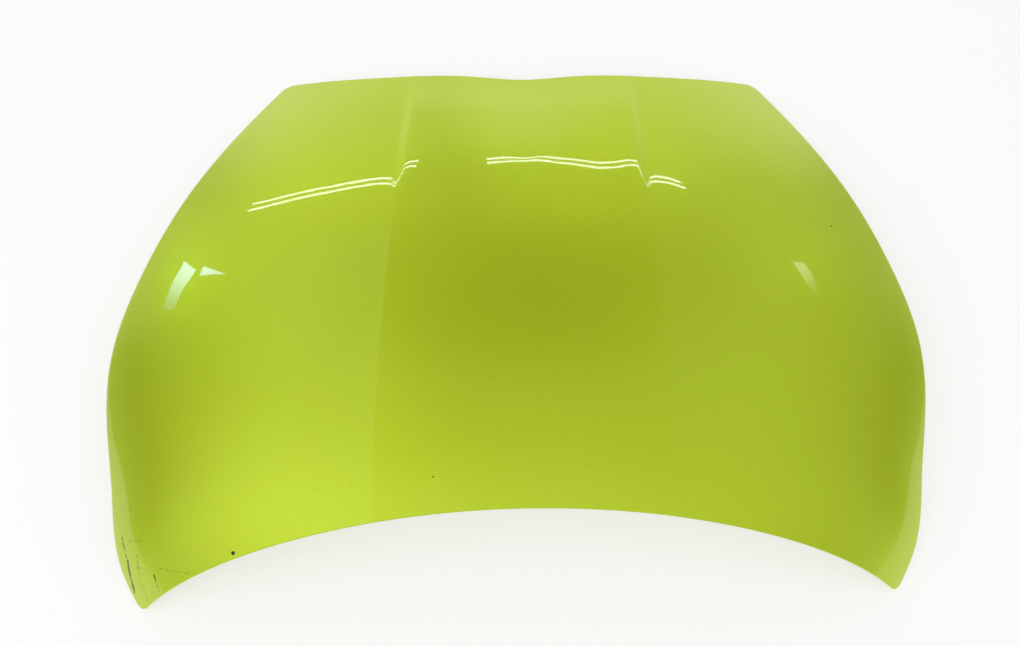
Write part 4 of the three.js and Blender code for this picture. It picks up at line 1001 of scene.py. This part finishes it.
colour = add(tree, "Mix", {
    "Factor": chipped, "A": scuff_colour.outputs["Result"], "B": linear("#2C2E22"),
}, data_type="RGBA")

peel = add(tree, "TexNoise", {"Vector": place, "Scale": 1000 / PEEL, "Detail": 1, "Roughness": 0.4})
ripple = add(tree, "Bump", {"Height": peel.outputs["Fac"], "Distance": PEEL_DEPTH, "Strength": 0.5})
surface(tree, {
    "Base Color": colour.outputs["Result"], "Metallic": 0.6, "Roughness": 0.4, "Specular IOR Level": 0,
    "Coat Weight": 1, "Coat Roughness": 0.02, "Coat IOR": 1.41, "Coat Normal": ripple.outputs["Normal"],
})
wear(outer_skin, paint)

# %% [markdown]
# ## Finishes of the inside
# The frame gets the same colour without a clear coat, so it looks satin. Plates, nuts, bolts and the striker
# are zinc-plated steel, the buffers are EPDM rubber, the stay's socket is nylon, and dark mastic holds the
# frame to the skin. The photograph doesn't show this side, so each finish has its usual colour and roughness,
# and a little dust or bloom.

# %% Satin frame paint, seam sealer
frame_paint, tree, place = new_material("satin_base_coat")
dust = add(tree, "TexNoise", {"Vector": place, "Scale": 9, "Detail": 5, "Roughness": 0.6})
grain = add(tree, "TexNoise", {"Vector": place, "Scale": 1000 / 1.6, "Detail": 2})
colour = two_tones(tree, dust.outputs["Fac"], (0.42, 0.75), ("#A8C22E", "#A9AF83"), most=0.4)
rough = add(tree, "MapRange", {
    "Value": dust.outputs["Fac"], "From Min": 0.3, "From Max": 0.7, "To Min": 0.3, "To Max": 0.5,
})
texture = add(tree, "Bump", {"Height": grain.outputs["Fac"], "Distance": 0.00004, "Strength": 0.5})
surface(tree, {
    "Base Color": colour, "Metallic": 0.1, "Roughness": rough.outputs["Result"],
    "Normal": texture.outputs["Normal"],
})


def mottled(name, grain, noise, span, tones, roughness, depth, strength):
    """A dull finish whose colour and relief follow one noise, with grains of a size in mm."""
    made, tree, place = new_material(name)
    pattern = add(tree, "TexNoise", {
        "Vector": place, "Scale": 1000 / grain, "Detail": noise[0], "Roughness": noise[1],
    }).outputs["Fac"]
    relief = add(tree, "Bump", {"Height": pattern, "Distance": depth, "Strength": strength})
    surface(tree, {
        "Base Color": two_tones(tree, pattern, span, tones), "Roughness": roughness,
        "Normal": relief.outputs["Normal"],
    })
    return made


# The sealer is brushed on, so its relief is the strokes of the brush.
sealer_paint = mottled(
    "painted_seam_sealer", 9, (3, 0.5), (0.3, 0.7), ("#AFC643", "#C0D266"), 0.5, 0.0004, 0.7
)

# %% Zinc plating, rubber, nylon, mastic
zinc, tree, place = new_material("zinc_plated_steel")
bloom = add(tree, "TexNoise", {"Vector": place, "Scale": 1000 / 14, "Detail": 5, "Roughness": 0.65})
colour = two_tones(tree, bloom.outputs["Fac"], (0.35, 0.7), ("#C3C5C6", "#9FA09C"))
rough = add(tree, "MapRange", {
    "Value": bloom.outputs["Fac"], "From Min": 0.3, "From Max": 0.7, "To Min": 0.28, "To Max": 0.5,
})
surface(tree, {"Base Color": colour, "Metallic": 1.0, "Roughness": rough.outputs["Result"]})

# Rubber has a powdery bloom, nylon shows its glass fibres a little, and mastic foams as it is baked.
rubber = mottled("epdm_rubber", 5, (4, 0.7), (0.45, 0.75), ("#1D1D1E", "#3A3A38"), 0.75, 0.00008, 0.6)
nylon = mottled("glass_filled_nylon", 1.4, (3, 0.5), (0.35, 0.7), ("#27272A", "#323234"), 0.48, 0.00005, 0.5)
mastic = mottled("expanding_mastic", 3, (4, 0.7), (0.35, 0.7), ("#343432", "#4A4A46"), 0.7, 0.0003, 0.8)

# %% [markdown]
# ## Finishes for the CAD nodes
# A node whose CAD shape is right stays as it is and gets one of the finishes above, by its name.

# %% Dress the CAD nodes
FINISH_BY_NAME = [
    ("outer_skin", paint), ("inner_frame", frame_paint), ("hem_sealer", sealer_paint), ("mastic", mastic),
    ("buffer", rubber), ("stay_socket", nylon), ("", zinc),
]
for name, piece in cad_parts.items():
    finish = next(material for start, material in FINISH_BY_NAME if name.startswith(start))
    wear(piece, finish)
finer_pieces = [(stamped_frame, frame_paint), (socket, nylon), (striker, zinc)]
finer_pieces += [(piece, rubber) for piece in buffers] + [(piece, zinc) for piece in bolts]
for piece, finish in finer_pieces:
    wear(piece, finish)
print("dressed", len(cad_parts), "nodes")

# %% [markdown]
# ## Floor and room
# The bonnet lies on a plain white floor in a white room. White that comes from strong lamps would wash the
# colour of the paint out. So the room is only shown as white to the camera, and to rays that come off or
# through something glossy, and the floor glows a little for the same rays while it still takes a shadow.
# Seen from below the floor is clear, so that the frame can be looked at from there.

# %% Floor
def shown_rays(tree):
    """1 for rays from the camera, from a glossy surface or through glass, otherwise 0."""
    path = add(tree, "LightPath").outputs
    seen = add(tree, "Math", {0: path["Is Camera Ray"], 1: path["Is Glossy Ray"]}, operation="MAXIMUM")
    seen = add(tree, "Math", {0: seen.outputs["Value"], 1: path["Is Transmission Ray"]}, operation="MAXIMUM")
    return seen.outputs["Value"]


def set_up(sheet, name, material):
    """Turns a bmesh into a thing of the studio that isn't part of the bonnet."""
    made = new_object(sheet, name)
    wear(made, material)
    return made


def lamp(tree, inputs):
    """A surface that only glows."""
    shine = add(tree, "Emission", inputs)
    add(tree, "OutputMaterial", {"Surface": shine.outputs["Emission"]})


FLOOR_RADIUS, TENT_RADIUS, FLOOR_GLOW = 6.9, 7, 0.56  # the floor ends inside the tent
white_floor, tree, place = new_material("white_studio_floor")
matt = add(tree, "BsdfDiffuse", {"Color": linear("#D8D8D6")})
shown_glow = add(tree, "Math", {0: shown_rays(tree), 1: FLOOR_GLOW}, operation="MULTIPLY")
glow = add(tree, "Emission", {"Strength": shown_glow.outputs["Value"]})
both = add(tree, "AddShader", {0: matt.outputs["BSDF"], 1: glow.outputs["Emission"]})
one_sided = add(tree, "MixShader", {
    "Fac": add(tree, "NewGeometry").outputs["Backfacing"],
    1: both.outputs["Shader"], 2: add(tree, "BsdfTransparent").outputs["BSDF"],
})
add(tree, "OutputMaterial", {"Surface": one_sided.outputs["Shader"]})
floor_sheet = bmesh.new()
bmesh.ops.create_circle(floor_sheet, cap_ends=True, segments=96, radius=FLOOR_RADIUS)
set_up(floor_sheet, "floor", white_floor)

# %% Room
world = bpy.data.worlds.new("white_room")
bpy.context.scene.world = world
world.use_nodes = True
world.node_tree.nodes.clear()
sky = add(world.node_tree, "Background", {"Color": (1, 1, 1, 1), "Strength": shown_rays(world.node_tree)})
add(world.node_tree, "OutputWorld", {"Surface": sky.outputs["Background"]})

# %% [markdown]
# ## Light
# A car's paint is lit by what it mirrors, so the light is a tent: half a sphere of lit cloth, out of the
# camera's sight. A few softboxes would show as hard-edged patches in the clear coat. Instead the cloth has
# an even level, and soft glows and shades are added towards some directions, each written as a compass
# angle from the rear, a height above the floor, a reach in degrees and a strength. Two pairs of thin tubes
# draw lines along the curve and show how true it is, and panes of daylight at the sides leave bright patches.

# %% Tent
TENT_LEVEL = 0.56
GLOWS = [
    (-25, 2, 20, 0.45), (0, 2, 20, 0.6), (25, 2, 20, 0.5), (-50, 2, 20, -0.15), (50, 2, 20, -0.15),
    (-90, 3, 30, -0.3), (90, 3, 30, -0.3), (-75, 28, 28, -0.15), (75, 28, 28, -0.12),
    (0, 50, 34, -0.3), (180, 52, 34, 0.34), (-128, 42, 36, 0.4), (180, 15, 40, -0.2),
]
tent_cloth, tree, place = new_material("lit_tent_cloth")
direction = add(tree, "VectorMath", {0: place}, operation="NORMALIZE").outputs["Vector"]
level = TENT_LEVEL
for compass, height, reach, strength in GLOWS:
    compass, height = math.radians(compass), math.radians(height)
    aim = (math.sin(compass) * math.cos(height), math.cos(compass) * math.cos(height), math.sin(height))
    facing = add(tree, "VectorMath", {0: direction, 1: aim}, operation="DOT_PRODUCT")
    soft = add(tree, "MapRange", {
        "Value": facing.outputs["Value"], "From Min": math.cos(math.radians(reach)), "To Max": strength,
    }, interpolation_type="SMOOTHSTEP")
    level = add(tree, "Math", {0: level, 1: soft.outputs["Result"]}, operation="ADD").outputs["Value"]
lamp(tree, {"Strength": level})
tent_sheet = bmesh.new()
bmesh.ops.create_uvsphere(tent_sheet, u_segments=48, v_segments=24, radius=TENT_RADIUS)
bmesh.ops.bisect_plane(
    tent_sheet, geom=tent_sheet.verts[:] + tent_sheet.edges[:] + tent_sheet.faces[:],
    plane_co=(0, 0, 0.001), plane_no=(0, 0, 1), clear_inner=True,
)
bmesh.ops.reverse_faces(tent_sheet, faces=tent_sheet.faces)
tent = set_up(tent_sheet, "light_tent", tent_cloth)
tent.visible_camera = False
print("tent with", len(GLOWS), "glows and shades")

# %% Panes of daylight at the sides
LEFT_PANES = [
    [(2.88, 1.36), (2.97, 1.88), (2.50, 1.77), (2.02, 1.77), (1.96, 1.39), (2.43, 1.31)],
    [(3.16, 2.05), (3.44, 2.85), (2.94, 2.06)],
]  # y and z of the corners, in metres
RIGHT_PANES = [[
    (4.13, 3.52), (3.86, 3.16), (3.49, 3.12), (2.81, 3.09), (2.87, 3.32), (3.07, 3.41), (3.91, 3.50),
]]


def pane(name, x, corner_lists, colour, dim, bright, near, far):
    """Flat glowing shapes on a side wall, bright at y = far and dim at y = near."""
    material, tree, place = new_material(name + "_glow")
    along = add(tree, "SeparateXYZ", {"Vector": place}).outputs["Y"]
    fade = add(tree, "MapRange", {
        "Value": along, "From Min": near, "From Max": far, "To Min": dim, "To Max": bright,
    }, interpolation_type="SMOOTHSTEP")
    lamp(tree, {"Color": linear(colour), "Strength": fade.outputs["Result"]})
    shapes = bmesh.new()
    for corners in corner_lists:
        shapes.faces.new([shapes.verts.new((x, y, z)) for y, z in corners])
    made = set_up(shapes, name, material)
    made.visible_camera = made.visible_diffuse = False


pane("left_panes", -4, LEFT_PANES, "#BFD6FF", dim=2, bright=12, near=1.95, far=2.95)
pane("right_panes", 4, RIGHT_PANES, "#F4F6E8", dim=0.6, bright=5.5, near=2.8, far=3.9)

# %% Cloths overhead: each has its edge above a crease, so that the panel's tone steps there
CLOTH_HEIGHT, CLOTH_END = 3.2, 4.9
CLOTH_FADE_X, CLOTH_FADE_Y = (1.7, 4.8), (3.2, 5.1)  # where the cloths fade out, outwards and rearwards
CLOTH_EDGE = [
    (1.38, -2.6), (1.38, -1.4), (1.36, -0.6), (1.38, 0.38),
    (1.42, 1.36), (1.53, 2.48), (1.7, 3.79), (1.9, 5.2),
]
for side, word, strength in ((-1, "left", 0.42), (1, "right", 0.1)):
    cloth, tree, place = new_material(f"overhead_cloth_{word}")
    split = add(tree, "SeparateXYZ", {"Vector": place}).outputs
    outwards = add(tree, "MapRange", {
        "Value": split["X"], "To Min": strength, "To Max": 0,
        "From Min": side * CLOTH_FADE_X[0], "From Max": side * CLOTH_FADE_X[1],
    }, interpolation_type="SMOOTHSTEP")
    rearwards = add(tree, "MapRange", {
        "Value": split["Y"], "To Min": 1, "To Max": 0,
        "From Min": CLOTH_FADE_Y[0], "From Max": CLOTH_FADE_Y[1],
    }, interpolation_type="SMOOTHSTEP")
    both = add(tree, "Math", {
        0: outwards.outputs["Result"], 1: rearwards.outputs["Result"],
    }, operation="MULTIPLY")
    shine = add(tree, "Emission", {"Strength": both.outputs["Value"]})
    sheer = add(tree, "AddShader", {
        0: shine.outputs["Emission"], 1: add(tree, "BsdfTransparent").outputs["BSDF"],
    })
    add(tree, "OutputMaterial", {"Surface": sheer.outputs["Shader"]})
    sheet = bmesh.new()
    verts = [sheet.verts.new((side * x, y, CLOTH_HEIGHT)) for x, y in CLOTH_EDGE]
    edges = [sheet.edges.new(pair) for pair in zip(verts, verts[1:])]
    pulled = bmesh.ops.extrude_edge_only(sheet, edges=edges)["geom"]
    for vert in only(VERT, pulled):
        vert.co.x = side * CLOTH_END
    made = set_up(sheet, f"overhead_cloth_{word}", cloth)
    made.visible_camera = made.visible_diffuse = made.visible_shadow = False

# %% Tubes: thin glowing strips that bend as the ceiling's lamps seem to in the paint
TUBE_HEIGHT, TUBE_WIDTH, TUBE_SHIFT, TUBE_STRENGTH = 2.3, 0.036, 0.11, 13
TUBES = {
    "left": [
        (-3.93, 4.95), (-3.45, 4.74), (-3.08, 4.635), (-2.78, 4.59), (-2.3, 4.557), (-1.94, 4.62),
        (-1.81, 4.67), (-1.3, 4.62), (-1.2, 4.62),
    ],
    "right": [
        (-0.215, 5.07), (-0.14, 5.26), (-0.1, 5.40), (-0.078, 5.55), (-0.02, 5.34), (0.08, 5.08),
        (0.17, 4.94), (0.4, 4.65), (0.645, 4.45), (0.88, 4.45), (1.12, 4.59), (1.35, 4.65),
        (1.59, 4.63), (1.68, 4.57), (1.79, 4.42),
    ],
}
tube_glow, tree, place = new_material("tube_glow")
lamp(tree, {"Strength": TUBE_STRENGTH})
facing = Vector((0, -4.7, 0.12 - TUBE_HEIGHT)).normalized()
across = facing.cross((1, 0, 0)).normalized()
for side, path in TUBES.items():
    for row, shift in (("near", -TUBE_SHIFT), ("far", TUBE_SHIFT)):
        strip = bmesh.new()
        verts = [strip.verts.new((x, y + shift, TUBE_HEIGHT)) for x, y in path]
        edges = [strip.edges.new(pair) for pair in zip(verts, verts[1:])]
        pulled = bmesh.ops.extrude_edge_only(strip, edges=edges)["geom"]
        bmesh.ops.translate(strip, verts=only(VERT, pulled), vec=across * TUBE_WIDTH)
        tube = set_up(strip, f"tube_{side}_{row}", tube_glow)
        tube.visible_camera = False

bpy.context.scene.view_settings.view_transform = "Standard"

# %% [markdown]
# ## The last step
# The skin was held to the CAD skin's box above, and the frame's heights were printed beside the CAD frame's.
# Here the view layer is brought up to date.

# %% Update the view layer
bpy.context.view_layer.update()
